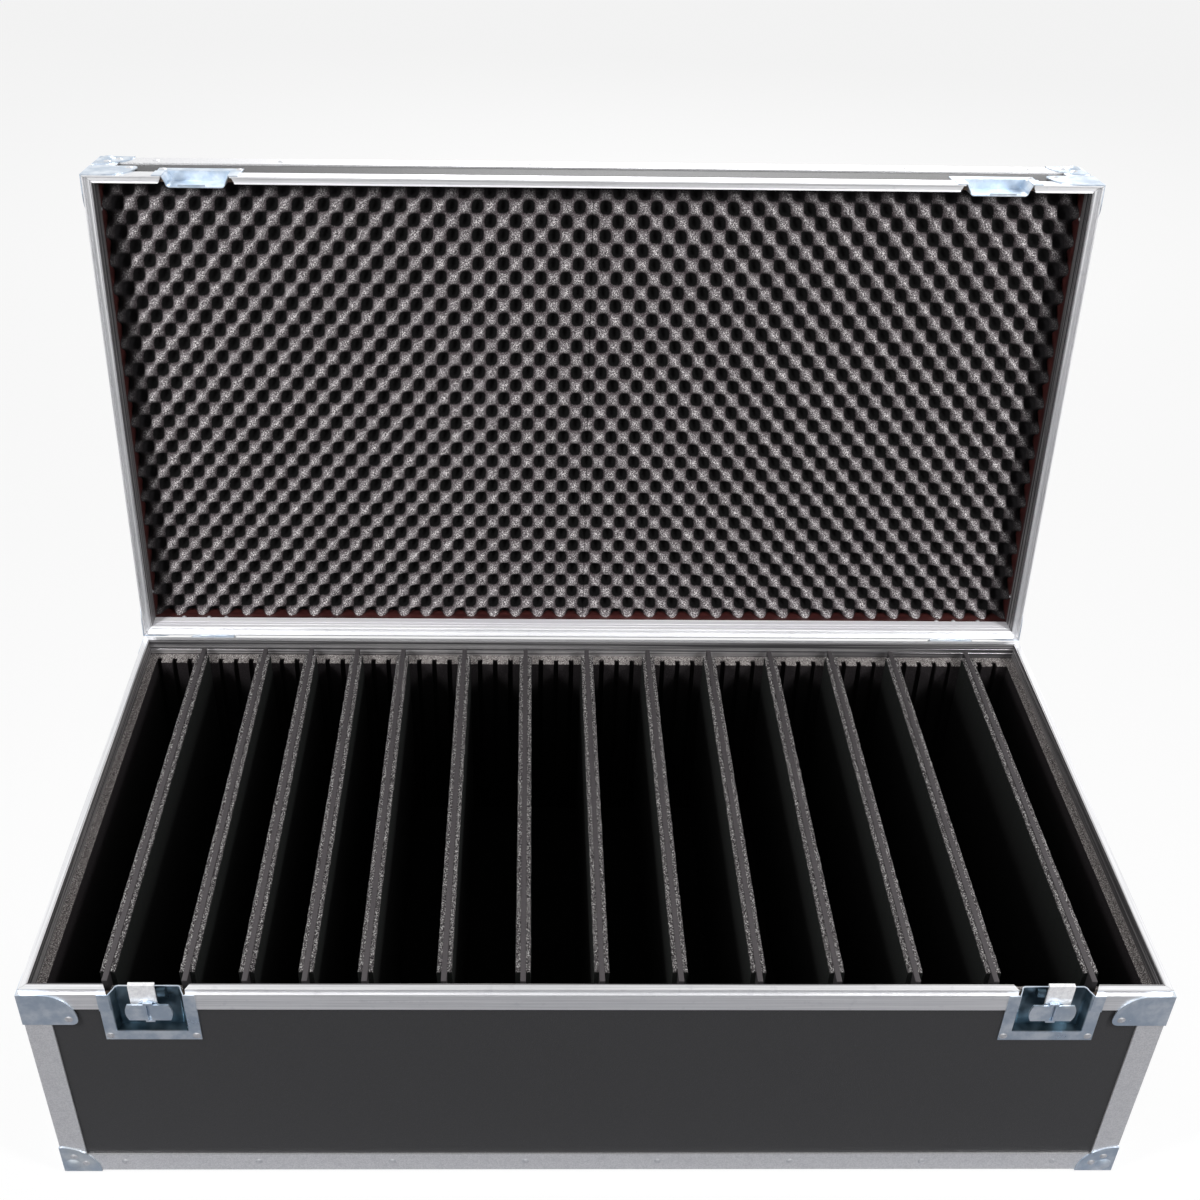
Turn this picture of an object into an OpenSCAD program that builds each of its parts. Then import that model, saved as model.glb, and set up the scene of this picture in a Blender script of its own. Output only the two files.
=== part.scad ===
// Road case with a hinged lid, recessed butterfly latches, spring handles and loose foam-faced
// dividers. It stands on its ball corners with the lid open on its stop.

/* [Case] */
// Width of the closed case over the rails
case_w = 1274; // [900:1:1500]
// Depth of the closed case over the rails, hinge side to latch side
case_d = 656; // [500:1:900]
// Height of the seam between base and lid above the floor
base_h = 320; // [250:1:500]
// Height of the lid above the seam
lid_h = 102; // [96:1:180]
// Angle at which the lid rests on its stop
lid_open = 96; // [92:0.5:100]

/* [Panels and rails] */
// Thickness of the plywood
ply_t = 7; // [6:0.5:9]
// Thickness of edge angles and of the rails' outer legs
skin_t = 2; // [1.5:0.1:2.5]
// Thickness of the rails' inner legs
leg_in_t = 1.6; // [1.2:0.1:2]
// Height of the tongue on the base rail
tongue_h = 6.5; // [5:0.5:8]
// Play between the tongue and the lid rail
tongue_play = 0.3; // [0.2:0.05:0.6]
// Thickness of the web that covers the plywood edge
web_t = 3.7; // [3:0.1:5]
// Wall of the hollow tongue
chamber_wall = 1.5; // [1.2:0.1:2]
// Reach of the rails' outer legs from the seam
leg_out = 24; // [20:1:28]
// Reach of the base rail's inner leg below the seam
base_leg_in = 17; // [14:0.5:24]
// Length of the lid rail's inner leg
lid_leg_in = 28; // [20:0.5:28]
// Width of the pressed lines along the inner legs
line_w = 1.4; // [1:0.1:2]
// Depth of the pressed lines
line_d = 0.5; // [0.3:0.1:0.8]
// Spacing of the pressed lines
line_pitch = 7; // [6:0.5:8]
// Leg of the edge angles
angle_leg = 30; // [25:1:35]
// Gap left where rails or angles meet
mitre_gap = 0.2; // [0.1:0.05:0.5]

/* [Corners] */
// Radius of the ball on each corner
ball_r = 16; // [14:0.5:18]
// How far a ball stands out of the faces
ball_out = 4.6; // [3.5:0.1:6]
// Height cut off the lower balls for a flat pad
pad_cut = 0.6; // [0.4:0.1:1]
// Reach of the ball corner's plates
plate_r = 44; // [38:1:46]
// Thickness of the ball corner's plates
plate_t = 1.2; // [1:0.1:1.5]
// Length of the rim braces along each side
brace_l = 61; // [50:1:66]
// Height of the rim braces
brace_h = 48; // [40:1:48]
// Thickness of the rim braces
brace_t = 1.5; // [1:0.1:2]

/* [Foam] */
// Thickness of the slotted foam at front and back
slot_foam_t = 20; // [16:1:30]
// Depth of the slots
slot_d = 10; // [6:1:12]
// Width of the slots
slot_w = 6.8; // [6.8:0.1:8]
// Spacing of the slots
slot_pitch = 22; // [20:0.5:26]
// Foam between the left end foam and the first slot
slot_start = 0.6; // [0.4:0.2:10]
// Thickness of the end foam
end_foam_t = 12; // [8:1:14]
// Thickness of the floor foam
floor_foam_t = 10; // [5:1:20]
// Total thickness of the lid's egg crate foam
crate_t = 50; // [40:1:50]
// Height of the peaks above the valleys
crate_peak = 21; // [15:1:25]
// Spacing of the peaks along the case
crate_pitch_x = 33.3; // [25:0.1:45]
// Spacing of the peaks across the case
crate_pitch_y = 38; // [30:0.5:50]

/* [Dividers] */
// Slots that hold a divider, counted from the left
divider_slots = [4, 8, 11, 14, 17, 21, 25, 29, 33, 37, 41, 45, 49, 54]; // each from 1 to 56, rising
// Thickness of a divider's core
core_t = 6.2; // [5:0.1:6.2]
// Thickness of a divider's foam pads
divider_pad_t = 6; // [4:0.5:8]
// Play of the core in its slot, at each end
core_play = 0.5; // [0.3:0.1:1]
// Length that a pad stops short of the slotted foam, at each end
pad_short = 5.5; // [2:0.5:10]
// Height of the pads' tops below the core's
pad_low = 1; // [0:0.5:5]
// Height of the divider tops above the seam
divider_top = 1; // [-10:0.5:5]

/* [Latches] */
// Distance of each latch from the end of the case
latch_inset = 135; // [115:1:300]
// Distance that both latches sit to the right of their even places
latch_shift = 5; // [0:0.5:10]
// Distance that the hook sits outside the middle of its recess
hook_shift = 5; // [0:0.5:6]
// Half width of a latch recess at its mouth
latch_mouth = 40.5; // [40:0.5:50]
// Half width of a latch recess at its floor
latch_floor = 36; // [35.5:0.5:45]
// Depth of the pressed recesses
dish_d = 12.8; // [12.8:0.1:14]
// Thickness of the pressed sheet
sheet_t = 1.2; // [1:0.1:1.5]
// Corner radius of the pressed recesses
dish_r = 4; // [2:0.5:6]
// Width of the flange around a recess
flange_w = 13; // [12:0.5:16]
// Height of the latch recess below the seam
latch_low = 61; // [60:1:70]
// Height of the keeper recess above the seam
keeper_high = 35; // [30:1:36]
// Depth of the rotor's centre below the seam
rotor_drop = 30; // [29:0.5:32]
// Radius over the butterfly wings
wing_r = 26; // [20:0.5:27]
// Half height of a wing at its hinge
wing_half_h = 12.3; // [10:0.1:14]
// Thickness of a wing
wing_t = 2.2; // [1.8:0.1:2.4]
// Width of the hook plate
hook_w = 29; // [24:0.5:32]
// Thickness of the hook plate
hook_t = 2.5; // [2:0.1:2.5]
// Height that the hook is drawn down when the latch is turned
hook_draw = 4; // [3:0.5:6]
// Distance that the hook moves inwards when the latch is turned
hook_in = 3; // [2.5:0.1:3]

/* [Hinges] */
// Distance of each hinge from the end of the case
hinge_inset = 100; // [90:1:300]
// Width of a hinge
hinge_w = 60; // [50:1:100]
// Length of a hinge leaf
leaf_h = 50; // [44:1:50]
// Thickness of a hinge leaf
leaf_t = 1.5; // [1.2:0.1:2]
// Outer radius of the knuckles
knuckle_r = 4.4; // [4:0.1:5]
// Radius of the hinge pin
pin_r = 2.5; // [2:0.1:3]
// Radial play of the hinge pin
pin_play = 0.05; // [0.02:0.01:0.1]

/* [Handles] */
// Height of the handle recess's middle above the floor
handle_z = 168; // [120:1:260]
// Half width of a handle recess at its mouth
handle_mouth = 72; // [70:1:90]
// Half width of a handle recess at its floor
handle_floor = 68; // [66:1:85]
// Half height of a handle recess
handle_half_h = 48; // [46:1:60]
// Radius of the handle rod
rod_r = 4; // [3.5:0.1:4.5]
// Half length of the handle between its arms
bail_half_w = 54; // [50:1:58]
// Length of the handle's arms
bail_arm = 54; // [50:1:60]
// Length of the rubber grip
grip_l = 94; // [80:1:98]
// Height of the grip
grip_h = 22; // [18:0.5:26]
// Thickness of the grip
grip_t = 11.6; // [10.6:0.1:12]

/* [Rivets] */
// Radius of a rivet's shank
rivet_r = 2.4; // [2:0.1:2.5]
// Radius of a rivet's head
rivet_head_r = 4.6; // [4:0.1:5]
// Height of a rivet's head
rivet_head_h = 1.5; // [1.2:0.1:2]
// Radius of a rivet's tail inside the case
rivet_tail_r = 3.2; // [2.8:0.1:3.4]
// Radial play of a rivet in its hole
rivet_play = 0.05; // [0.02:0.01:0.1]
// Largest spacing of the rivets along an edge
rivet_pitch = 170; // [120:5:250]

/* [Hidden] */
$fn = 48;

aluminium = [0.84, 0.85, 0.86];
zinc = [0.62, 0.68, 0.76];
steel = [0.75, 0.76, 0.78];
laminate = [0.14, 0.10, 0.10];
plywood = [0.30, 0.10, 0.09];
foam_grey = [0.24, 0.23, 0.25];
rubber = [0.08, 0.08, 0.08];

wall = skin_t + ply_t;
rail_t = wall + leg_in_t;
under_z = ball_out - pad_cut;
seam_z = base_h;
lid_top_z = seam_z + lid_h;
lid_seat = tongue_h + tongue_play;
lip_t = skin_t - tongue_play;
seam_gap = tongue_play;
rail_cut = 30;
far = 2000;
soft_gap = 0.3;
body_gap = 0.3;
bore_over = 1;

inner_half_w = case_w / 2 - wall;
inner_half_d = case_d / 2 - wall;
foam_half_w = inner_half_w - end_foam_t;
foam_half_d = inner_half_d - slot_foam_t;
floor_z = under_z + wall;
foam_floor_z = floor_z + floor_foam_t;
foam_top_z = seam_z - base_leg_in - soft_gap;

counted_slots = 56;
slot_count = floor((2 * foam_half_w - slot_start - slot_w) / slot_pitch) + 1;
function slot_x(i) = slot_start + slot_w / 2 - foam_half_w + (i - 1) * slot_pitch;
function slot_of(i) = round(1 + (divider_slots[i] - 1) * (slot_count - 1) / (counted_slots - 1));
core_len = case_d - 2 * (wall + slot_foam_t - slot_d + core_play);
divider_low = foam_floor_z + soft_gap;
divider_high = seam_z + divider_top;

hinge_off = knuckle_r + body_gap;
hinge_y = case_d / 2 + hinge_off;
hinge_x = case_w / 2 - hinge_inset;
latch_x = case_w / 2 - latch_inset;
function latch_at(l) = l * latch_x + latch_shift;

// The case stands with the middle of its open outline over the origin
ball_c = ball_r - ball_out;
front_reach = case_d / 2 + ball_out;
lid_ball_y = ball_c - case_d / 2 - hinge_y;
lid_ball_z = lid_h - ball_c;
back_reach = hinge_y + lid_ball_y * cos(lid_open) + lid_ball_z * sin(lid_open) + ball_r;
middle_y = (back_reach - front_reach) / 2;

function arc(x, y, r, from, to, steps = 6) =
  [for (i = [0:steps]) let (a = from + (to - from) * i / steps) [x + r * cos(a), y + r * sin(a)]];

module place() {
  translate([0, -middle_y, 0]) children();
}
module place_lid() {
  place() translate([0, hinge_y, seam_z]) rotate([-lid_open, 0, 0])
    translate([0, -hinge_y, -seam_z]) children();
}
// Each face has its own frame: x along the face, y into the case, z up
module on_front() translate([0, -case_d / 2, 0]) children();
module on_back() rotate([0, 0, 180]) translate([0, -case_d / 2, 0]) children();
module on_left() translate([-case_w / 2, 0, 0]) rotate([0, 0, -90]) children();
module on_right() translate([case_w / 2, 0, 0]) rotate([0, 0, 90]) children();
module on_sides() {
  on_front() children();
  on_back() children();
}
module on_ends() {
  on_left() children();
  on_right() children();
}
// Each corner has its own frame: x and y into the case
module on_corners() {
  for (sx = [0, 1]) for (sy = [0, 1])
    mirror([sx, 0, 0]) mirror([0, sy, 0]) translate([-case_w / 2, -case_d / 2, 0]) children();
}
module on_seam(x) translate([x, 0, seam_z]) children();

// Rails and angles, cut to mitres at both ends
module mitred_run(len) {
  half = len / 2 - mitre_gap;
  reach = angle_leg + 1;
  intersection() {
    rotate([90, 0, 90]) linear_extrude(len, center = true) children();
    translate([0, 0, -far / 2]) linear_extrude(far)
      polygon([[-half, 0], [half, 0], [half - reach, reach], [reach - half, reach]]);
  }
}
module pressed_lines(count) {
  for (i = [1:count]) translate([rail_t - line_d, i * line_pitch]) square([line_d + bore_over, line_w]);
}
module base_rail_outline() {
  difference() {
    union() {
      translate([0, -leg_out]) square([skin_t, leg_out]);
      translate([0, -web_t]) square([rail_t, web_t]);
      translate([skin_t, -web_t]) square([rail_t - skin_t, web_t + tongue_h]);
      translate([wall, -base_leg_in]) square([leg_in_t, base_leg_in]);
    }
    translate([skin_t + chamber_wall, chamber_wall - web_t])
      square([rail_t - skin_t - 2 * chamber_wall, tongue_h + web_t - 2 * chamber_wall]);
    translate([0, tongue_h]) mirror([0, 1]) pressed_lines(2);
  }
}
module lid_rail_outline() {
  difference() {
    union() {
      translate([0, seam_gap]) square([lip_t, leg_out - seam_gap]);
      translate([0, lid_seat]) square([skin_t, leg_out - lid_seat]);
      translate([0, lid_seat]) square([rail_t, web_t]);
      translate([wall, lid_seat]) square([leg_in_t, lid_leg_in]);
    }
    translate([wall - line_w, lid_seat - bore_over]) square([line_w, bore_over + line_w]);
    translate([0, lid_seat]) pressed_lines(2);
  }
}
module angle_outline() {
  square([skin_t, angle_leg]);
  square([angle_leg, skin_t]);
}

// Outline of a pressed recess, mouth at y = 0
module dish_outline(mouth, floor_half, depth, r) {
  polygon(concat([[mouth, 0], [mouth, -skin_t - bore_over], [-mouth, -skin_t - bore_over], [-mouth, 0]],
    arc(r - floor_half, depth - r, r, 180, 90), arc(floor_half - r, depth - r, r, 90, 0)));
}
// Pressed recess without its flange; low and high are the inner heights
module dish_cup(mouth, floor_half, low, high) {
  translate([0, 0, low]) linear_extrude(high - low)
    dish_outline(mouth + sheet_t, floor_half + sheet_t, dish_d + sheet_t, dish_r + sheet_t);
}
module dish_hollow(mouth, floor_half, low, high) {
  translate([0, 0, low]) linear_extrude(high - low) dish_outline(mouth, floor_half, dish_d, dish_r);
}
// Hole that lets a recess into plywood and foam
module dish_hole(mouth, floor_half, low, high) {
  translate([0, 0, low]) linear_extrude(high - low)
    dish_outline(mouth + sheet_t + body_gap, floor_half + sheet_t + body_gap, dish_d + sheet_t + body_gap,
      dish_r + sheet_t);
}
// Plate that lies on the rail leg, steps down and goes on over the plywood; z away from the seam
module stepped_plate(half_w, t, start, end) {
  translate([-half_w, -t, start]) cube([2 * half_w, t, leg_out + body_gap + t - start]);
  translate([-half_w, -t, leg_out + body_gap]) cube([2 * half_w, skin_t + t, t]);
  translate([-half_w, skin_t - t, leg_out + body_gap]) cube([2 * half_w, t, end - leg_out - body_gap]);
}

// Rivets: top is the depth of the surface under the head, end is the depth of the shank's end
module rivet(top, end, tail = false) {
  rotate([-90, 0, 0]) {
    translate([0, 0, top]) cylinder(r = rivet_r, h = end - top);
    translate([0, 0, top]) rivet_head();
    if (tail) translate([0, 0, end]) cylinder(r1 = rivet_tail_r, r2 = rivet_tail_r / 2, h = rivet_head_h);
  }
}
module rivet_head() {
  cap_r = (rivet_head_r * rivet_head_r + rivet_head_h * rivet_head_h) / (2 * rivet_head_h);
  intersection() {
    translate([0, 0, cap_r - rivet_head_h]) sphere(r = cap_r);
    translate([0, 0, -rivet_head_h]) cylinder(r = rivet_head_r, h = rivet_head_h);
  }
}
module rivet_hole() {
  rotate([-90, 0, 0]) translate([0, 0, -bore_over - skin_t])
    cylinder(r = rivet_r + rivet_play, h = rail_t + skin_t + 2 * bore_over);
}
module spread(half_len) {
  steps = ceil(2 * half_len / rivet_pitch);
  for (i = [0:steps]) translate([-half_len + 2 * half_len * i / steps, 0, 0]) children();
}
edge_rivet = angle_leg / 2 + 1;
plate_rivet = 27;
plate_rivet_low = 14.5;
plate_clear = 30;
brace_rivet_in = 10;
brace_rivet_x = brace_l - brace_rivet_in;
brace_rivet_z = (lid_seat + lid_leg_in + lid_h - wall - crate_t) / 2;
dish_rivet_x = latch_mouth + flange_w / 2 + 1;
keeper_rivet_z = keeper_high + sheet_t + flange_w / 2;
latch_rivet_z = latch_low + sheet_t + flange_w / 2;
leaf_rivet_x = 12.5;
handle_rivet_x = handle_mouth + sheet_t + flange_w / 2;
handle_rivet_z = handle_half_h + sheet_t + flange_w / 2;

// Rivet places on the wall faces of the base and of the lid, in a face's own frame
module base_edge_spots(half_len) {
  translate([0, 0, under_z + edge_rivet]) spread(half_len - plate_r - plate_clear) children();
}
module base_brace_spots(half_len) {
  for (s = [-1, 1]) translate([s * (half_len - brace_rivet_x), 0, seam_z - brace_rivet_z]) children();
}
module base_plate_spots(half_len) {
  for (s = [-1, 1]) {
    translate([s * (half_len - plate_rivet), 0, under_z + plate_rivet_low]) children();
    translate([s * (half_len - plate_rivet_low), 0, under_z + plate_rivet]) children();
  }
}
module lid_edge_spots(half_len) {
  translate([0, 0, lid_top_z - edge_rivet]) spread(half_len - plate_r - plate_clear) children();
}
module lid_brace_spots(half_len) {
  for (s = [-1, 1]) translate([s * (half_len - brace_rivet_x), 0, seam_z + brace_rivet_z]) children();
}
module lid_plate_spots(half_len) {
  for (s = [-1, 1]) {
    translate([s * (half_len - plate_rivet), 0, lid_top_z - plate_rivet_low]) children();
    translate([s * (half_len - plate_rivet_low), 0, lid_top_z - plate_rivet]) children();
  }
}
module latch_spots() {
  for (l = [-1, 1]) for (s = [-1, 1])
    translate([latch_at(l) + s * dish_rivet_x, 0, seam_z - latch_rivet_z]) children();
}
module keeper_spots() {
  for (l = [-1, 1]) for (s = [-1, 1])
    translate([latch_at(l) + s * dish_rivet_x, 0, seam_z + keeper_rivet_z]) children();
}
module base_leaf_spots() {
  for (l = [-1, 1]) for (s = [-1, 1])
    translate([l * hinge_x + s * leaf_rivet_x, 0, seam_z - brace_rivet_z]) children();
}
module lid_leaf_spots() {
  for (l = [-1, 1]) for (s = [-1, 1])
    translate([l * hinge_x + s * leaf_rivet_x, 0, seam_z + brace_rivet_z]) children();
}
module handle_spots() {
  for (sx = [-1, 1]) for (sz = [-1, 1])
    translate([sx * handle_rivet_x, 0, handle_z + sz * handle_rivet_z]) children();
}
module base_holes_long() {
  base_edge_spots(case_w / 2) rivet_hole();
  base_brace_spots(case_w / 2) rivet_hole();
  base_plate_spots(case_w / 2) rivet_hole();
}
module base_holes_short() {
  base_edge_spots(case_d / 2) rivet_hole();
  base_brace_spots(case_d / 2) rivet_hole();
  base_plate_spots(case_d / 2) rivet_hole();
}
module lid_holes_long() {
  lid_edge_spots(case_w / 2) rivet_hole();
  lid_brace_spots(case_w / 2) rivet_hole();
  lid_plate_spots(case_w / 2) rivet_hole();
}
module lid_holes_short() {
  lid_edge_spots(case_d / 2) rivet_hole();
  lid_brace_spots(case_d / 2) rivet_hole();
  lid_plate_spots(case_d / 2) rivet_hole();
}

// Rails
module rail_gap() {
  near = latch_mouth + sheet_t + body_gap;
  grow = rail_t * tan(rail_cut);
  for (l = [-1, 1]) translate([latch_at(l), 0, -far / 2]) linear_extrude(far)
    polygon([[-near, -bore_over], [near, -bore_over], [near + grow, rail_t + bore_over],
      [-near - grow, rail_t + bore_over]]);
}
module base_rails_long() {
  color(aluminium) place() {
    on_front() difference() {
      translate([0, 0, seam_z]) mitred_run(case_w) base_rail_outline();
      rail_gap();
    }
    on_back() translate([0, 0, seam_z]) mitred_run(case_w) base_rail_outline();
  }
}
module base_rails_short() {
  color(aluminium) place() on_ends() translate([0, 0, seam_z]) mitred_run(case_d) base_rail_outline();
}
module lid_rails_long() {
  color(aluminium) place_lid() {
    on_front() difference() {
      translate([0, 0, seam_z]) mitred_run(case_w) lid_rail_outline();
      rail_gap();
    }
    on_back() translate([0, 0, seam_z]) mitred_run(case_w) lid_rail_outline();
  }
}
module lid_rails_short() {
  color(aluminium) place_lid() on_ends() translate([0, 0, seam_z]) mitred_run(case_d) lid_rail_outline();
}

// Plywood panels
module wall_panel(half_len, low, high) {
  translate([-half_len, skin_t, low]) cube([2 * half_len, ply_t, high - low]);
}
base_panel_low = under_z + skin_t;
base_panel_high = seam_z - web_t;
lid_panel_low = seam_z + lid_seat + web_t;
lid_panel_high = lid_top_z - skin_t;
module latch_hole() {
  for (l = [-1, 1]) translate([latch_at(l), 0, seam_z])
    dish_hole(latch_mouth, latch_floor, -latch_low - sheet_t - body_gap, far / 2);
}
module keeper_hole() {
  for (l = [-1, 1]) translate([latch_at(l), 0, seam_z])
    dish_hole(latch_mouth, latch_floor, -far / 2, keeper_high + sheet_t + body_gap);
}
module base_bottom_panel() {
  color(laminate) place() difference() {
    translate([-inner_half_w, -inner_half_d, base_panel_low])
      cube([2 * inner_half_w, 2 * inner_half_d, ply_t]);
    bottom_rivet_places() rivet_hole();
  }
}
module base_front_panel() {
  color(laminate) place() on_front() difference() {
    wall_panel(case_w / 2 - skin_t, base_panel_low, base_panel_high);
    latch_hole();
    base_holes_long();
    latch_spots() rivet_hole();
  }
}
module base_back_panel() {
  color(laminate) place() on_back() difference() {
    wall_panel(case_w / 2 - skin_t, base_panel_low, base_panel_high);
    base_holes_long();
    base_leaf_spots() rivet_hole();
  }
}
module base_end_panels() {
  color(laminate) place() on_ends() difference() {
    wall_panel(inner_half_d, base_panel_low, base_panel_high);
    translate([0, 0, handle_z])
      dish_hole(handle_mouth, handle_floor, -handle_half_h - sheet_t - body_gap,
        handle_half_h + sheet_t + body_gap);
    base_holes_short();
    handle_spots() rivet_hole();
  }
}
module lid_top_panel() {
  color(laminate) place_lid() difference() {
    translate([-inner_half_w, -inner_half_d, lid_panel_high - ply_t])
      cube([2 * inner_half_w, 2 * inner_half_d, ply_t]);
    top_rivet_places() rivet_hole();
  }
}
module lid_front_panel() {
  color(plywood) place_lid() on_front() difference() {
    wall_panel(case_w / 2 - skin_t, lid_panel_low, lid_panel_high);
    keeper_hole();
    lid_holes_long();
    keeper_spots() rivet_hole();
  }
}
module lid_back_panel() {
  color(plywood) place_lid() on_back() difference() {
    wall_panel(case_w / 2 - skin_t, lid_panel_low, lid_panel_high);
    lid_holes_long();
    lid_leaf_spots() rivet_hole();
  }
}
module lid_end_panels() {
  color(plywood) place_lid() on_ends() difference() {
    wall_panel(inner_half_d, lid_panel_low, lid_panel_high);
    lid_holes_short();
  }
}

// Rivet places under the base and on the lid's top, in the frame of that face
module face_places(half_w, half_d) {
  for (sy = [-1, 1]) translate([0, 0, sy * (half_d - edge_rivet)]) spread(half_w - plate_r - 30) children();
  for (sx = [-1, 1]) translate([sx * (half_w - edge_rivet), 0, 0]) rotate([0, 90, 0])
    spread(half_d - plate_r - 30) children();
}
module face_plate_places(half_w, half_d) {
  for (sx = [-1, 1]) for (sy = [-1, 1]) {
    translate([sx * (half_w - plate_rivet), 0, sy * (half_d - plate_rivet_low)]) children();
    translate([sx * (half_w - plate_rivet_low), 0, sy * (half_d - plate_rivet)]) children();
  }
}
module on_underside() translate([0, 0, under_z]) rotate([90, 0, 0]) children();
module on_lid_top() translate([0, 0, lid_top_z]) rotate([-90, 0, 0]) children();
module bottom_rivet_places() {
  on_underside() {
    face_places(case_w / 2, case_d / 2) children();
    face_plate_places(case_w / 2, case_d / 2) children();
  }
}
module top_rivet_places() {
  on_lid_top() {
    face_places(case_w / 2, case_d / 2) children();
    face_plate_places(case_w / 2, case_d / 2) children();
  }
}

// Edge angles, with the upright ones between them and the rails
module base_edge_angles() {
  color(aluminium) place() difference() {
    union() {
      on_sides() translate([0, 0, under_z]) mitred_run(case_w) angle_outline();
      on_ends() translate([0, 0, under_z]) mitred_run(case_d) angle_outline();
      on_corners() translate([0, 0, under_z + angle_leg + mitre_gap])
        linear_extrude(seam_z - leg_out - under_z - angle_leg - 2 * mitre_gap) angle_outline();
    }
    on_sides() base_edge_spots(case_w / 2) rivet_hole();
    on_sides() base_plate_spots(case_w / 2) rivet_hole();
    on_ends() base_edge_spots(case_d / 2) rivet_hole();
    on_ends() base_plate_spots(case_d / 2) rivet_hole();
    bottom_rivet_places() rivet_hole();
  }
}
module lid_edge_angles() {
  color(aluminium) place_lid() difference() {
    union() {
      on_sides() translate([0, 0, lid_top_z]) mitred_run(case_w) mirror([0, 1]) angle_outline();
      on_ends() translate([0, 0, lid_top_z]) mitred_run(case_d) mirror([0, 1]) angle_outline();
      on_corners() translate([0, 0, seam_z + leg_out + mitre_gap])
        linear_extrude(lid_h - leg_out - angle_leg - 2 * mitre_gap) angle_outline();
    }
    on_sides() lid_edge_spots(case_w / 2) rivet_hole();
    on_sides() lid_plate_spots(case_w / 2) rivet_hole();
    on_ends() lid_edge_spots(case_d / 2) rivet_hole();
    on_ends() lid_plate_spots(case_d / 2) rivet_hole();
    top_rivet_places() rivet_hole();
  }
}

// Ball corner in a corner's own frame, z into the case
module ball_corner() {
  difference() {
    union() {
      intersection() {
        translate([-plate_t, -plate_t, -plate_t]) cube(plate_r + plate_t);
        sphere(r = plate_r);
      }
      translate([ball_c, ball_c, ball_c]) sphere(r = ball_r);
    }
    cube(2 * plate_r);
    for (turn = [0, 120, 240]) rotate(a = turn, v = [1, 1, 1]) plate_holes();
  }
}
module plate_holes() {
  for (spot = [[plate_rivet, plate_rivet_low], [plate_rivet_low, plate_rivet]])
    translate([spot.x, spot.y, -ball_out - bore_over])
      cylinder(r = rivet_r + rivet_play, h = ball_out + 2 * bore_over);
}
module base_ball_corners() {
  color(zinc) place() difference() {
    on_corners() translate([0, 0, under_z]) ball_corner();
    translate([-far / 2, -far / 2, -far]) cube([far, far, far]);
  }
}
module lid_ball_corners() {
  color(zinc) place_lid() on_corners() translate([0, 0, lid_top_z]) mirror([0, 0, 1]) ball_corner();
}

// Braces round the rim corners: two leaves with a wide round by the seam, z away from the seam
brace_round = 38;
brace_foot_r = 8;
module brace_leaf() {
  rotate([90, 0, 0]) linear_extrude(brace_t) polygon(concat([[-brace_t, 0]],
    arc(brace_l - brace_round, brace_round, brace_round, -90, 0, 12),
    arc(brace_l - brace_foot_r, brace_h - brace_foot_r, brace_foot_r, 0, 90), [[-brace_t, brace_h]]));
}
module rim_brace() {
  brace_leaf();
  mirror([1, -1, 0]) brace_leaf();
}
module base_rim_braces() {
  color(zinc) place() difference() {
    on_corners() translate([0, 0, seam_z]) mirror([0, 0, 1]) rim_brace();
    on_sides() base_brace_spots(case_w / 2) rivet_hole();
    on_ends() base_brace_spots(case_d / 2) rivet_hole();
  }
}
module lid_rim_braces() {
  color(zinc) place_lid() difference() {
    on_corners() translate([0, 0, seam_z + seam_gap]) rim_brace();
    on_sides() lid_brace_spots(case_w / 2) rivet_hole();
    on_ends() lid_brace_spots(case_d / 2) rivet_hole();
  }
}

// All rivets
module base_rivets() {
  color(steel) place() {
    on_sides() {
      base_edge_spots(case_w / 2) rivet(0, wall);
      base_brace_spots(case_w / 2) rivet(-brace_t, wall);
      base_plate_spots(case_w / 2) rivet(-plate_t, wall);
    }
    on_ends() {
      base_edge_spots(case_d / 2) rivet(0, wall);
      base_brace_spots(case_d / 2) rivet(-brace_t, wall);
      base_plate_spots(case_d / 2) rivet(-plate_t, wall);
      handle_spots() rivet(skin_t - sheet_t, wall);
    }
    on_front() latch_spots() rivet(skin_t - sheet_t, wall);
    on_back() base_leaf_spots() rivet(skin_t - leaf_t, wall);
    on_underside() face_places(case_w / 2, case_d / 2) rivet(0, wall);
    on_underside() face_plate_places(case_w / 2, case_d / 2) rivet(-plate_t, wall);
  }
}
module lid_rivets() {
  color(steel) place_lid() {
    on_sides() {
      lid_edge_spots(case_w / 2) rivet(0, wall);
      lid_brace_spots(case_w / 2) rivet(-brace_t, wall, true);
      lid_plate_spots(case_w / 2) rivet(-plate_t, wall);
    }
    on_ends() {
      lid_edge_spots(case_d / 2) rivet(0, wall);
      lid_brace_spots(case_d / 2) rivet(-brace_t, wall, true);
      lid_plate_spots(case_d / 2) rivet(-plate_t, wall);
    }
    on_front() keeper_spots() rivet(skin_t - sheet_t, wall);
    on_back() lid_leaf_spots() rivet(skin_t - leaf_t, wall, true);
    on_lid_top() face_places(case_w / 2, case_d / 2) rivet(0, wall);
    on_lid_top() face_plate_places(case_w / 2, case_d / 2) rivet(-plate_t, wall);
  }
}

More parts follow.
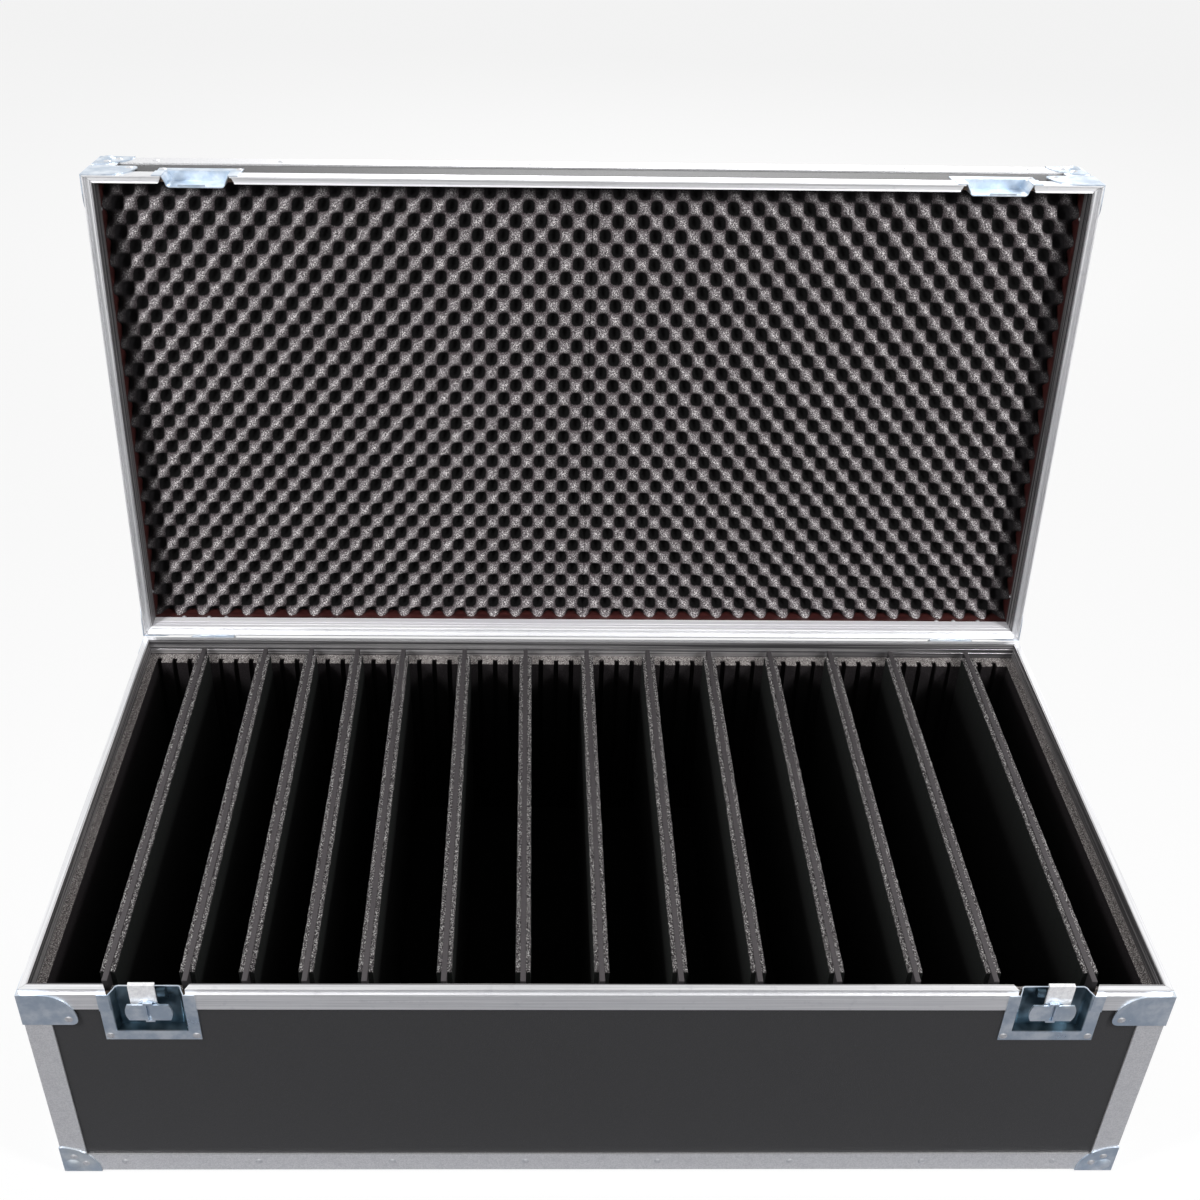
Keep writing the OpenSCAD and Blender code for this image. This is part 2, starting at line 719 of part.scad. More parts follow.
// Foam of the base: slotted at front and back, and at the front and the ends a backing that is left
// out behind the recesses
layer_gap = 0.1;
facing_t = 2.5;
module slotted_foam(mirrored, from) {
  slot_y = wall + slot_foam_t - slot_d;
  difference() {
    translate([-inner_half_w, from, floor_z])
      cube([2 * inner_half_w, wall + slot_foam_t - from, foam_top_z - floor_z]);
    for (i = [1:slot_count])
      translate([(mirrored ? -1 : 1) * slot_x(i) - slot_w / 2, slot_y, floor_z - bore_over])
        cube([slot_w, slot_d + bore_over, foam_top_z - floor_z + 2 * bore_over]);
  }
}
module backing(left, right, low, high, end) {
  translate([left, wall, low]) cube([right - left, end - wall - layer_gap, high - low]);
}
module base_foam_front() {
  end = latch_tail_end + soft_gap;
  pocket_half_w = latch_mouth + sheet_t + 1;
  pocket_low = seam_z - latch_low - sheet_t - 1;
  color(foam_grey) place() on_front() {
    slotted_foam(false, end);
    backing(-inner_half_w, inner_half_w, floor_z, pocket_low - layer_gap, end);
    backing(-inner_half_w, latch_at(-1) - pocket_half_w, pocket_low, foam_top_z, end);
    backing(latch_at(-1) + pocket_half_w, latch_at(1) - pocket_half_w, pocket_low, foam_top_z, end);
    backing(latch_at(1) + pocket_half_w, inner_half_w, pocket_low, foam_top_z, end);
  }
}
module base_foam_back() {
  color(foam_grey) place() on_back() slotted_foam(true, wall);
}
module base_foam_ends() {
  end = wall + end_foam_t - facing_t;
  pocket_half_w = handle_mouth + sheet_t + 1;
  pocket_half_h = handle_half_h + sheet_t + 1;
  low = handle_z - pocket_half_h;
  high = handle_z + pocket_half_h;
  color(foam_grey) place() on_ends() {
    translate([-foam_half_d, end, floor_z]) cube([2 * foam_half_d, facing_t, foam_top_z - floor_z]);
    backing(-foam_half_d, foam_half_d, floor_z, low - layer_gap, end);
    backing(-foam_half_d, foam_half_d, high + layer_gap, foam_top_z, end);
    backing(-foam_half_d, -pocket_half_w, low, high, end);
    backing(pocket_half_w, foam_half_d, low, high, end);
  }
}
module base_foam_floor() {
  color(foam_grey) place() translate([-foam_half_w, -foam_half_d, floor_z])
    cube([2 * foam_half_w, 2 * foam_half_d, floor_foam_t]);
}

// Egg crate foam: a slab whose lower face swings between peaks and valleys
module crate_foam(w, d) {
  nx = 2 * round(w / crate_pitch_x);
  ny = 2 * round(d / crate_pitch_y);
  at = function (i, j) j * (nx + 1) + i;
  lower = [for (j = [0:ny]) for (i = [0:nx]) [w * i / nx, d * j / ny, (i + j) % 2 == 0 ? 0 : crate_peak]];
  rim = concat([for (i = [0:nx - 1]) at(i, 0)], [for (j = [0:ny - 1]) at(nx, j)],
    [for (i = [nx:-1:1]) at(i, ny)], [for (j = [ny:-1:1]) at(0, j)]);
  upper = [for (i = rim) [lower[i].x, lower[i].y, crate_t]];
  middle = len(lower) + len(upper);
  facets = [for (j = [0:ny - 1]) for (i = [0:nx - 1])
    each (i + j) % 2 == 0
      ? [[at(i, j), at(i + 1, j), at(i, j + 1)], [at(i + 1, j), at(i + 1, j + 1), at(i, j + 1)]]
      : [[at(i, j), at(i + 1, j), at(i + 1, j + 1)], [at(i, j), at(i + 1, j + 1), at(i, j + 1)]]];
  sides = [for (k = [0:len(rim) - 1]) let (n = (k + 1) % len(rim), up = len(lower))
    each [[rim[n], rim[k], up + k], [rim[n], up + k, up + n], [up + n, up + k, middle]]];
  polyhedron(concat(lower, upper, [[w / 2, d / 2, crate_t]]), concat(facets, sides));
}
module lid_crate(start) {
  color(foam_grey) place_lid() translate([start, -inner_half_d, lid_panel_high - ply_t - crate_t])
    crate_foam(inner_half_w, 2 * inner_half_d);
}
module lid_foam_left() lid_crate(-inner_half_w);
module lid_foam_right() lid_crate(0);

// Hinges, in the frame of the back face with z = 0 at the seam
hinge_segments = 5;
segment_w = hinge_w / hinge_segments;
module knuckle(i) {
  translate([-hinge_w / 2 + i * segment_w + body_gap / 2, -hinge_off, 0]) rotate([0, 90, 0])
    cylinder(r = knuckle_r, h = segment_w - body_gap);
}
module hinge_leaf(own, other) {
  reach = knuckle_r + body_gap;
  difference() {
    union() {
      stepped_plate(hinge_w / 2, leaf_t, 0, leaf_h);
      for (i = own) knuckle(i);
    }
    for (i = other) translate([-hinge_w / 2 + i * segment_w - body_gap / 2, -hinge_off - reach, -reach])
      cube([segment_w + body_gap, hinge_off + reach, 2 * reach]);
    translate([-hinge_w / 2 - bore_over, -hinge_off, 0]) rotate([0, 90, 0])
      cylinder(r = pin_r + pin_play, h = hinge_w + 2 * bore_over);
  }
}
module on_hinges() {
  for (l = [-1, 1]) on_back() on_seam(l * hinge_x) children();
}
module hinge_base_leaves() {
  color(zinc) place() difference() {
    on_hinges() mirror([0, 0, 1]) hinge_leaf([0, 2, 4], [1, 3]);
    on_back() base_leaf_spots() rivet_hole();
  }
}
module hinge_lid_leaves() {
  color(zinc) place_lid() difference() {
    on_hinges() hinge_leaf([1, 3], [0, 2, 4]);
    on_back() lid_leaf_spots() rivet_hole();
  }
}
module hinge_pins() {
  head = pin_r + 0.8;
  color(steel) place() on_hinges() translate([-hinge_w / 2 - 1, -hinge_off, 0]) rotate([0, 90, 0]) {
    cylinder(r = pin_r, h = hinge_w + 2);
    translate([0, 0, -1]) cylinder(r = head, h = 1);
    translate([0, 0, hinge_w + 2]) cylinder(r = head, h = 1);
  }
}

// Latches, in the frame of the front face with x = 0 at the latch and z = 0 at the seam
post_r = 5;
tail_r = 3;
tail_cap_r = 4.6;
tail_cap_t = 1.4;
latch_tail_end = dish_d + sheet_t + body_gap + tail_cap_t;
wing_axis_x = 3;
wing_axis_y = 1.3;
wing_pin_r = 0.8;
ear_t = 2.4;
plate_y = wing_axis_y + wing_t / 2 + 0.6;
plate_disc_t = 1.2;
plate_disc_r = 16;
hook_y = plate_y + plate_disc_t + body_gap;
catch_low = 0.6;
catch_t = 2;
catch_y = hook_y + hook_t + hook_in + body_gap;
catch_half_w = 17;
hook_rise = catch_low + catch_t + body_gap + hook_draw + hook_t;
hook_drop = 44;
hook_lip = 2.5;
guard_w = 9;
guard_d = 4.8;
guard_h = 12;
guard_gap = 0.5;
guard_top = 2;
// What stands out of the flange of a recess by the seam, z away from the seam
module flange_trim() {
  translate([-far / 2, -far, leg_out + body_gap + sheet_t]) cube([far, far + skin_t - sheet_t, far]);
  translate([-far / 2, -far - sheet_t, -far / 2]) cube([far, far, far]);
}
module latch_dish(l) {
  difference() {
    union() {
      difference() {
        union() {
          dish_cup(latch_mouth, latch_floor, -latch_low - sheet_t, 0);
          mirror([0, 0, 1]) stepped_plate(latch_mouth + flange_w, sheet_t, 0, latch_low + sheet_t + flange_w);
        }
        dish_hollow(latch_mouth, latch_floor, -latch_low, bore_over);
        mirror([0, 0, 1]) flange_trim();
      }
      translate([l * (hook_shift - hook_w / 2 - guard_gap - guard_w / 2) - guard_w / 2, dish_d - guard_d, -guard_h])
        cube([guard_w, guard_d, guard_h - guard_top]);
    }
    translate([0, dish_d - bore_over, -rotor_drop]) rotate([-90, 0, 0])
      cylinder(r = tail_r + pin_play, h = sheet_t + 2 * bore_over);
  }
}
module latch_dishes() {
  color(zinc) place() on_front() difference() {
    for (l = [-1, 1]) on_seam(latch_at(l)) latch_dish(l);
    latch_spots() rivet_hole();
  }
}
module keeper_dish(l) {
  difference() {
    union() {
      dish_cup(latch_mouth, latch_floor, seam_gap, keeper_high + sheet_t);
      stepped_plate(latch_mouth + flange_w, sheet_t, seam_gap, keeper_high + sheet_t + flange_w);
    }
    dish_hollow(latch_mouth, latch_floor, -bore_over, keeper_high);
    flange_trim();
  }
  translate([l * hook_shift - catch_half_w, catch_y, catch_low])
    cube([2 * catch_half_w, dish_d - catch_y, catch_t]);
}
module keeper_dishes() {
  color(zinc) place_lid() on_front() difference() {
    for (l = [-1, 1]) on_seam(latch_at(l)) keeper_dish(l);
    keeper_spots() rivet_hole();
  }
}
module on_rotor(l) place() on_front() on_seam(latch_at(l)) translate([0, 0, -rotor_drop]) children();
module latch_rotor() {
  rotate([-90, 0, 0]) {
    translate([0, 0, plate_y]) cylinder(r = plate_disc_r, h = plate_disc_t);
    translate([0, 0, plate_y]) cylinder(r = post_r, h = dish_d - body_gap - plate_y);
    translate([0, 0, plate_y]) cylinder(r = tail_r, h = latch_tail_end - plate_y);
    translate([0, 0, latch_tail_end - tail_cap_t]) cylinder(r = tail_cap_r, h = tail_cap_t);
  }
  ear_half_w = wing_axis_x + wing_t;
  ear_y = wing_axis_y - wing_t / 2;
  ear_z = wing_half_h + body_gap;
  difference() {
    for (s = [0, 1]) mirror([0, 0, s]) translate([-ear_half_w, ear_y, ear_z])
      cube([2 * ear_half_w, plate_y + plate_disc_t - ear_y, ear_t]);
    for (s = [-1, 1]) translate([s * wing_axis_x, wing_axis_y, -plate_disc_r])
      cylinder(r = wing_pin_r + pin_play, h = 2 * plate_disc_r);
  }
}
module latch_rotor_left() color(zinc) on_rotor(-1) latch_rotor();
module latch_rotor_right() color(zinc) on_rotor(1) latch_rotor();
module wing(s) {
  mirror([s < 0 ? 1 : 0, 0, 0]) {
    intersection() {
      translate([wing_axis_x - wing_t / 2, wing_axis_y - wing_t / 2, -wing_half_h])
        cube([wing_r, wing_t, 2 * wing_half_h]);
      rotate([-90, 0, 0]) cylinder(r = wing_r, h = plate_y);
    }
    translate([wing_axis_x, wing_axis_y, -wing_half_h - body_gap - ear_t])
      cylinder(r = wing_pin_r, h = 2 * (wing_half_h + body_gap + ear_t));
  }
}
module wing_outer_left() color(zinc) on_rotor(-1) wing(-1);
module wing_inner_left() color(zinc) on_rotor(-1) wing(1);
module wing_inner_right() color(zinc) on_rotor(1) wing(-1);
module wing_outer_right() color(zinc) on_rotor(1) wing(1);
module latch_hook(l) {
  slot_r = post_r + body_gap;
  left = l * hook_shift - hook_w / 2;
  difference() {
    union() {
      translate([left, hook_y, -hook_drop]) cube([hook_w, hook_t, hook_drop + hook_rise]);
      translate([left, hook_y, hook_rise - hook_t]) cube([hook_w, hook_t + hook_lip, hook_t]);
    }
    for (z = [-rotor_drop, hook_draw - rotor_drop]) translate([0, hook_y - bore_over, z]) rotate([-90, 0, 0])
      cylinder(r = slot_r, h = hook_t + 2 * bore_over);
    translate([-slot_r, hook_y - bore_over, -rotor_drop])
      cube([2 * slot_r, hook_t + 2 * bore_over, hook_draw]);
  }
}
module latch_hook_left() color(steel) place() on_front() on_seam(latch_at(-1)) latch_hook(-1);
module latch_hook_right() color(steel) place() on_front() on_seam(latch_at(1)) latch_hook(1);

// Handles, in the frame of an end face with z = 0 at the middle of the recess
pivot_z = 30;
grip_play = 0.4;
pivot_y = dish_d - grip_play - grip_t / 2;
pivot_r = rod_r - 1;
ear_half = 3;
ear_x = bail_half_w + rod_r + body_gap + ear_half;
module handle_dish() {
  difference() {
    union() {
      difference() {
        union() {
          dish_cup(handle_mouth, handle_floor, -handle_half_h - sheet_t, handle_half_h + sheet_t);
          translate([-handle_mouth - flange_w, skin_t - sheet_t, -handle_half_h - flange_w])
            cube([2 * (handle_mouth + flange_w), sheet_t, 2 * (handle_half_h + flange_w)]);
        }
        dish_hollow(handle_mouth, handle_floor, -handle_half_h, handle_half_h);
        translate([-far / 2, -far + skin_t - sheet_t, -far / 2]) cube([far, far, far]);
      }
      for (s = [-1, 1]) translate([s * ear_x - ear_half, pivot_y - rod_r, pivot_z - rod_r - 2])
        cube([2 * ear_half, dish_d - pivot_y + rod_r, 2 * (rod_r + 2)]);
    }
    for (s = [-1, 1]) translate([s * ear_x - ear_half - bore_over, pivot_y, pivot_z]) rotate([0, 90, 0])
      cylinder(r = pivot_r + pin_play, h = 2 * (ear_half + bore_over));
  }
}
module handle_dishes() {
  color(zinc) place() on_ends() difference() {
    translate([0, 0, handle_z]) handle_dish();
    handle_spots() rivet_hole();
  }
}
module handle_bail() {
  translate([0, pivot_y, pivot_z]) {
    translate([-bail_half_w, 0, 0]) rotate([0, 90, 0]) cylinder(r = rod_r, h = 2 * bail_half_w);
    translate([-ear_x - ear_half, 0, 0]) rotate([0, 90, 0])
      cylinder(r = pivot_r, h = 2 * (ear_x + ear_half));
    translate([-bail_half_w, 0, -bail_arm]) rotate([0, 90, 0]) cylinder(r = rod_r, h = 2 * bail_half_w);
    for (s = [-1, 1]) translate([s * bail_half_w, 0, -bail_arm]) {
      cylinder(r = rod_r, h = bail_arm);
      sphere(r = rod_r);
      translate([0, 0, bail_arm]) sphere(r = rod_r);
    }
  }
}
module handle_grip() {
  flat = grip_h - grip_t;
  translate([-grip_l / 2, pivot_y, pivot_z - bail_arm]) rotate([0, 90, 0]) difference() {
    linear_extrude(grip_l) {
      translate([-flat / 2, -grip_t / 2]) square([flat, grip_t]);
      for (s = [-1, 1]) translate([s * flat / 2, 0]) circle(r = grip_t / 2);
    }
    translate([0, 0, -bore_over]) cylinder(r = rod_r + pin_play, h = grip_l + 2 * bore_over);
  }
}
module handle_bail_left() color(zinc) place() on_left() translate([0, 0, handle_z]) handle_bail();
module handle_bail_right() color(zinc) place() on_right() translate([0, 0, handle_z]) handle_bail();
module handle_grip_left() color(rubber) place() on_left() translate([0, 0, handle_z]) handle_grip();
module handle_grip_right() color(rubber) place() on_right() translate([0, 0, handle_z]) handle_grip();

// Dividers: a stiff core with a foam pad on each face
module divider(i) {
  pad_half = foam_half_d - pad_short;
  color(foam_grey) place() translate([slot_x(slot_of(i)), 0, divider_low]) {
    translate([-core_t / 2, -core_len / 2, 0]) cube([core_t, core_len, divider_high - divider_low]);
    for (s = [-1, 1]) translate([s > 0 ? core_t / 2 : -core_t / 2 - divider_pad_t, -pad_half, 0])
      cube([divider_pad_t, 2 * pad_half, divider_high - pad_low - divider_low]);
  }
}
module divider_01() divider(0);
module divider_02() divider(1);
module divider_03() divider(2);
module divider_04() divider(3);
module divider_05() divider(4);
module divider_06() divider(5);
module divider_07() divider(6);
module divider_08() divider(7);
module divider_09() divider(8);
module divider_10() divider(9);
module divider_11() divider(10);
module divider_12() divider(11);
module divider_13() divider(12);
module divider_14() divider(13);

base_rails_long();
base_rails_short();
lid_rails_long();
lid_rails_short();
base_bottom_panel();
base_front_panel();
base_back_panel();
base_end_panels();
lid_top_panel();
lid_front_panel();
lid_back_panel();
lid_end_panels();
base_edge_angles();
lid_edge_angles();
base_ball_corners();
lid_ball_corners();
base_rim_braces();
lid_rim_braces();
base_rivets();
lid_rivets();
base_foam_front();
base_foam_back();
base_foam_ends();
base_foam_floor();
lid_foam_left();
lid_foam_right();
hinge_base_leaves();
hinge_lid_leaves();
hinge_pins();
latch_dishes();
keeper_dishes();
latch_rotor_left();
latch_rotor_right();
wing_outer_left();
wing_inner_left();
wing_inner_right();
wing_outer_right();
latch_hook_left();
latch_hook_right();
handle_dishes();
handle_bail_left();
handle_bail_right();
handle_grip_left();
handle_grip_right();
divider_01();
divider_02();
divider_03();
divider_04();
divider_05();
divider_06();
divider_07();
divider_08();
divider_09();
divider_10();
divider_11();
divider_12();
divider_13();
divider_14();
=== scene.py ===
# Road case, open: egg crate foam in the lid, slotted foam and loose dividers in the base
import math

import bmesh
import bpy
from mathutils import Matrix, Vector, noise


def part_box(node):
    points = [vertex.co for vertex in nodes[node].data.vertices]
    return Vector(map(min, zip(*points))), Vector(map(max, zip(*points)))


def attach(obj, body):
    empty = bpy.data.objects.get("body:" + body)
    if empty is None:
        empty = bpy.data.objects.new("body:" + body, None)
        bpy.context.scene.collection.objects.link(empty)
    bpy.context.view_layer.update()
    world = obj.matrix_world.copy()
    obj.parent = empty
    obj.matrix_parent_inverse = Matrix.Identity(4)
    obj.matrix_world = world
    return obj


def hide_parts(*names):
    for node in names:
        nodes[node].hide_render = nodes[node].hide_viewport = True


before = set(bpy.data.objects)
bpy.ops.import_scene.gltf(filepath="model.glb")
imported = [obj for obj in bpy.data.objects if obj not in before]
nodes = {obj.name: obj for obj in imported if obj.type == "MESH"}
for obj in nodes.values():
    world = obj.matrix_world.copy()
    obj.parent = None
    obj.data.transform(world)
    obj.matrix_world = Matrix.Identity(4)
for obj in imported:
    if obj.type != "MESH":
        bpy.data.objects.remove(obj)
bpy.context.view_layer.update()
MM = 0.001
TO_MM = 1000

# Sizes, counts and angles repeated from the part's source, in millimetres and degrees
MIDDLE_Y = 87.037
SEAM_Z = 320
HINGE = Vector((0, 245.663, SEAM_Z)) * MM
LID_OPEN = 96
INNER_HALF_W = 628
INNER_HALF_D = 319
WALL = 9
PLY = 7
FLOOR_Z = 13
FOAM_FLOOR_Z = 23
FOAM_TOP_Z = 302.7
SLOT_FOAM = 20
SLOT_DEEP = 10
SLOT_W = 6.8
SLOT_PITCH = 22
FIRST_SLOT = -612
SLOTS = 56
END_FOAM = 12
CRATE_LOW = 363
CRATE_HIGH = 413
CRATE_PEAK = 21
CRATE_PITCH_X = 33.3
CRATE_PITCH_Y = 38
CORE_T = 6.2
CORE_HALF = 308.5
PAD_T = 6
PAD_HALF = 293.5
PAD_LOW = 1
DIVIDER_LOW = 23.3
DIVIDER_HIGH = 321
DIVIDERS = 14
LATCH_X = 502
LATCH_SHIFT = 5
LATCH_POCKET = 42.7
LATCH_POCKET_H = 63.2
LATCH_POCKET_D = 16
HANDLE_Z = 168
HANDLE_POCKET = 75
HANDLE_POCKET_H = 51
HANDLE_POCKET_D = 14.5

# Sizes that only the dressed pieces have, in millimetres
PLY_LAYER = 1.4
FOAM_EDGE = 0.7
FLOOR_FOAM_EDGE = 0.6
CORE_EDGE = 0.5
CRATE_EDGE = 0.4
CRATE_CLEAR = 0.8
CRATE_LEAN = 260
RAGGED_REACH = 30
PAD_DROPS = (240, 160, 90, 50, 28, 15, 8, 4, 2)

# Form of the egg crate: a hollow's reach and slope in half pitches, and shares of its depth
HOLLOW_REACH = 0.82
HOLLOW_SLOPE = 0.55
ROUND_SHARE = 0.25
RIDGE_RISE = 0.22

# Steps of the fine meshes: in half a pitch of the egg crate, and along a divider's pad
CRATE_STEPS = 7
PAD_STEPS = 340

# Values that several finishes share
ALUMINIUM_METAL = 0.82
WORN_ALUMINIUM = (0.60, 0.60, 0.63)
DULL_ZINC = (0.47, 0.56, 0.67)
BRIGHT_ZINC = (0.74, 0.80, 0.87)
WHITE = (1.0, 1.0, 1.0)
FLOOR_GLOW = 0.85

# The lid's own frame is the shut case; this turns it to where it stands open
LID_PLACE = (Matrix.Translation(HINGE)
             @ Matrix.Rotation(math.radians(-LID_OPEN), 4, "X")
             @ Matrix.Translation(-HINGE))


class Socket:
    """A shader socket that takes part in sums; each sum on numbers adds its Math node."""

    def __init__(self, finish, socket):
        self.finish = finish
        self.socket = socket

    def maths(self, operation, *values):
        return self.finish.node("ShaderNodeMath", {"operation": operation},
                                dict(enumerate(values)))[0]

    def __add__(self, other):
        return self.maths("ADD", self, other)

    def __radd__(self, other):
        return self.maths("ADD", other, self)

    def __sub__(self, other):
        return self.maths("SUBTRACT", self, other)

    def __rsub__(self, other):
        return self.maths("SUBTRACT", other, self)

    def __mul__(self, other):
        return self.maths("MULTIPLY", self, other)

    def __rmul__(self, other):
        return self.maths("MULTIPLY", other, self)

    def __abs__(self):
        return self.maths("ABSOLUTE", self)

    def least(self, other):
        return self.maths("MINIMUM", self, other)

    def most(self, other):
        return self.maths("MAXIMUM", self, other)

    def fraction(self):
        """What is over a whole number, so that a steady rise becomes repeated layers."""
        return self.maths("FRACT", self)

    def between(self, low, high):
        """0 below low, 1 above high and smooth between them."""
        return self.finish.node("ShaderNodeMapRange", {"interpolation_type": "SMOOTHSTEP"},
                                {"Value": self, "From Min": low, "From Max": high})["Result"]


class Node:
    """A shader node whose outputs are read by name or number."""

    def __init__(self, finish, node):
        self.finish = finish
        self.outputs = node.outputs

    def __getitem__(self, name):
        return Socket(self.finish, self.outputs[name])


class NodeTree:
    """Adds nodes to a tree, with their settings and the values or links of their sockets."""

    def __init__(self, tree):
        self.tree = tree

    def node(self, kind, settings=None, values=None):
        node = self.tree.nodes.new(kind)
        for name, value in (settings or {}).items():
            setattr(node, name, value)
        for name, value in (values or {}).items():
            self.join(node.inputs[name], value)
        return Node(self, node)

    def join(self, target, value):
        if isinstance(value, Socket):
            self.tree.links.new(value.socket, target)
        elif isinstance(value, tuple) and len(value) == 3 and target.type == "RGBA":
            target.default_value = (*value, 1)
        else:
            target.default_value = value

    def seen_directly(self):
        """1 where the camera or a reflection looks, 0 for the light on diffuse surfaces."""
        path = self.node("ShaderNodeLightPath")
        return path["Is Camera Ray"].most(path["Is Glossy Ray"]).most(path["Is Transmission Ray"])


class Finish(NodeTree):
    """A material with one Principled BSDF, built up from nodes."""

    def __init__(self, name):
        self.material = bpy.data.materials.new(name)
        self.material.use_nodes = True
        super().__init__(self.material.node_tree)
        self.shader = self.tree.nodes["Principled BSDF"]
        self.place = self.node("ShaderNodeTexCoord")["Object"]

    def surface(self, **values):
        """Sets the shader's own sockets; an underscore stands for a space."""
        for name, value in values.items():
            self.join(self.shader.inputs[name.replace("_", " ")], value)

    def mapped(self, scale):
        """Coordinates stretched by a scale for each axis."""
        return self.node("ShaderNodeMapping", {"vector_type": "POINT"}, {
            "Vector": self.place, "Scale": scale})["Vector"]

    def noise(self, scale, detail, roughness=0.5, vector=None):
        return self.node("ShaderNodeTexNoise", None, {
            "Vector": vector or self.place, "Scale": scale,
            "Detail": detail, "Roughness": roughness})["Fac"]

    def cells(self, scale):
        return self.node("ShaderNodeTexVoronoi", {"feature": "F1"}, {
            "Vector": self.place, "Scale": scale})["Distance"]

    def blend(self, first, second, factor):
        """The first colour where factor is 0 and the second where it is 1."""
        return self.node("ShaderNodeMix", {"data_type": "RGBA"}, {
            0: factor, 6: first, 7: second})[2]

    def along(self, direction):
        """Distance of a point along a direction, in metres."""
        return self.node("ShaderNodeVectorMath", {"operation": "DOT_PRODUCT"}, {
            0: self.place, 1: tuple(direction)})["Value"]

    def drawn(self, run, slow, fast):
        """Coordinates that change slowly along a direction and fast across it."""
        side = run.orthogonal().normalized()
        return self.node("ShaderNodeCombineXYZ", None, {
            "X": self.along(run) * slow,
            "Y": self.along(side) * fast,
            "Z": self.along(run.cross(side)) * fast})["Vector"]

    def bump(self, height, distance, strength):
        """A normal from a height, whose full range stands for a distance in metres."""
        return self.node("ShaderNodeBump", None, {
            "Height": height, "Distance": distance, "Strength": strength})["Normal"]


# Finishes of the frame
def drawn_aluminium(name, run, leg, leg_dark_reflection=(0.15, 0.147, 0.155), leg_light_reflection=(0.60, 0.59, 0.60),
                    leg_metal=ALUMINIUM_METAL):
    """Satin extruded aluminium with fine lines along its run. leg gives a direction, the middle and
    the half width in millimetres within which the rail's inner leg carries a streaked painted
    reflection."""
    finish = Finish(name)
    direction, middle, half = leg
    lines = finish.noise(1.0, 3.0, 0.6, finish.drawn(run, 6.0, 900.0))
    clouds = finish.noise(9.0, 3.0, 0.55)
    wear = finish.noise(70.0, 4.0, 0.65).between(0.56, 0.72)
    colour = finish.blend((0.70, 0.705, 0.72), (0.90, 0.90, 0.915), lines.between(0.3, 0.7))
    colour = finish.blend(colour, WORN_ALUMINIUM, wear * 0.35)
    inner = 1 - abs(finish.along(direction) * TO_MM - middle).between(half + 0.1, half + 0.5)
    # Painted reflection on the inner leg: streaks between a dark and a light colour.
    streaks = finish.noise(1.0, 1.0, 0.5, finish.drawn(run, 2.0, 420.0))
    leg_painted_reflection = finish.blend(leg_dark_reflection, leg_light_reflection, streaks.between(0.42, 0.60))
    metal = ALUMINIUM_METAL
    if leg_metal != metal:
        metal = metal + inner * (leg_metal - metal)
    finish.surface(Base_Color=finish.blend(colour, leg_painted_reflection, inner), Metallic=metal,
                   Roughness=0.27 + lines * 0.12 + clouds * 0.10,
                   Normal=finish.bump(lines, 0.00006, 0.5))
    return finish.material


def satin_aluminium(name):
    """Satin aluminium of the edge angles, with a fine even grain and soft wear."""
    finish = Finish(name)
    fine = finish.noise(700.0, 2.0)
    wear = finish.noise(60.0, 4.0, 0.65).between(0.52, 0.70)
    colour = finish.blend((0.72, 0.725, 0.74), (0.86, 0.86, 0.875), fine.between(0.35, 0.65))
    colour = finish.blend(colour, WORN_ALUMINIUM, wear * 0.35)
    finish.surface(Base_Color=colour, Metallic=ALUMINIUM_METAL,
                   Roughness=0.30 + fine * 0.08 + wear * 0.08,
                   Normal=finish.bump(fine, 0.00005, 0.4))
    return finish.material


def zinc_plate(name):
    """Bluish bright zinc on pressed sheet, with the soft mottling of the plating."""
    finish = Finish(name)
    mottle = finish.noise(38.0, 4.0, 0.6)
    spangle = finish.cells(160.0)
    fine = finish.noise(900.0, 2.0)
    yellowed = finish.noise(14.0, 3.0).between(0.58, 0.74) * 0.3
    colour = finish.blend(DULL_ZINC, BRIGHT_ZINC, mottle.between(0.35, 0.68))
    colour = finish.blend(colour, (0.80, 0.80, 0.74), yellowed)
    finish.surface(Base_Color=colour, Metallic=0.88,
                   Roughness=0.22 + mottle * 0.16 + spangle * 0.08,
                   Normal=finish.bump(fine + mottle * 2.0, 0.00008, 0.4))
    return finish.material


def latch_dish_zinc(name, flange_at, rim_at):
    """Zinc of a latch recess: bright on its flange at flange_at and on the rim at height rim_at,
    with painted shade, dark and bluish, down in the cup."""
    finish = Finish(name)
    mottle = finish.noise(38.0, 4.0, 0.6)
    fine = finish.noise(900.0, 2.0)
    clouds = finish.noise(30.0, 2.0)
    bright = finish.blend(DULL_ZINC, BRIGHT_ZINC, mottle.between(0.35, 0.68))
    # Painted shade down in the cup: dark bluish zinc, kept off the flange and the rim.
    cup_painted_shade = finish.blend((0.030, 0.055, 0.075), (0.16, 0.23, 0.28), clouds.between(0.36, 0.66))
    inside = (finish.along((0, 1, 0)) * TO_MM - flange_at).between(0.6, 3.0)
    rim = (finish.along((0, 0, 1)) * TO_MM - rim_at).between(-1.3, -0.9)
    colour = finish.blend(bright, cup_painted_shade, inside * (1 - rim))
    finish.surface(Base_Color=colour, Metallic=0.88, Roughness=0.22 + mottle * 0.16,
                   Normal=finish.bump(fine + mottle * 2.0, 0.00008, 0.4))
    return finish.material


def plain_steel(name):
    """Plain bright steel of the rivets and hinge pins, with light scuffs."""
    finish = Finish(name)
    scuffs = finish.noise(240.0, 4.0, 0.7)
    tone = finish.noise(45.0, 3.0)
    colour = finish.blend((0.62, 0.63, 0.66), (0.85, 0.855, 0.87), scuffs.between(0.3, 0.7))
    finish.surface(Base_Color=colour, Metallic=0.9, Roughness=0.2 + tone * 0.2,
                   Normal=finish.bump(scuffs, 0.00005, 0.5))
    return finish.material


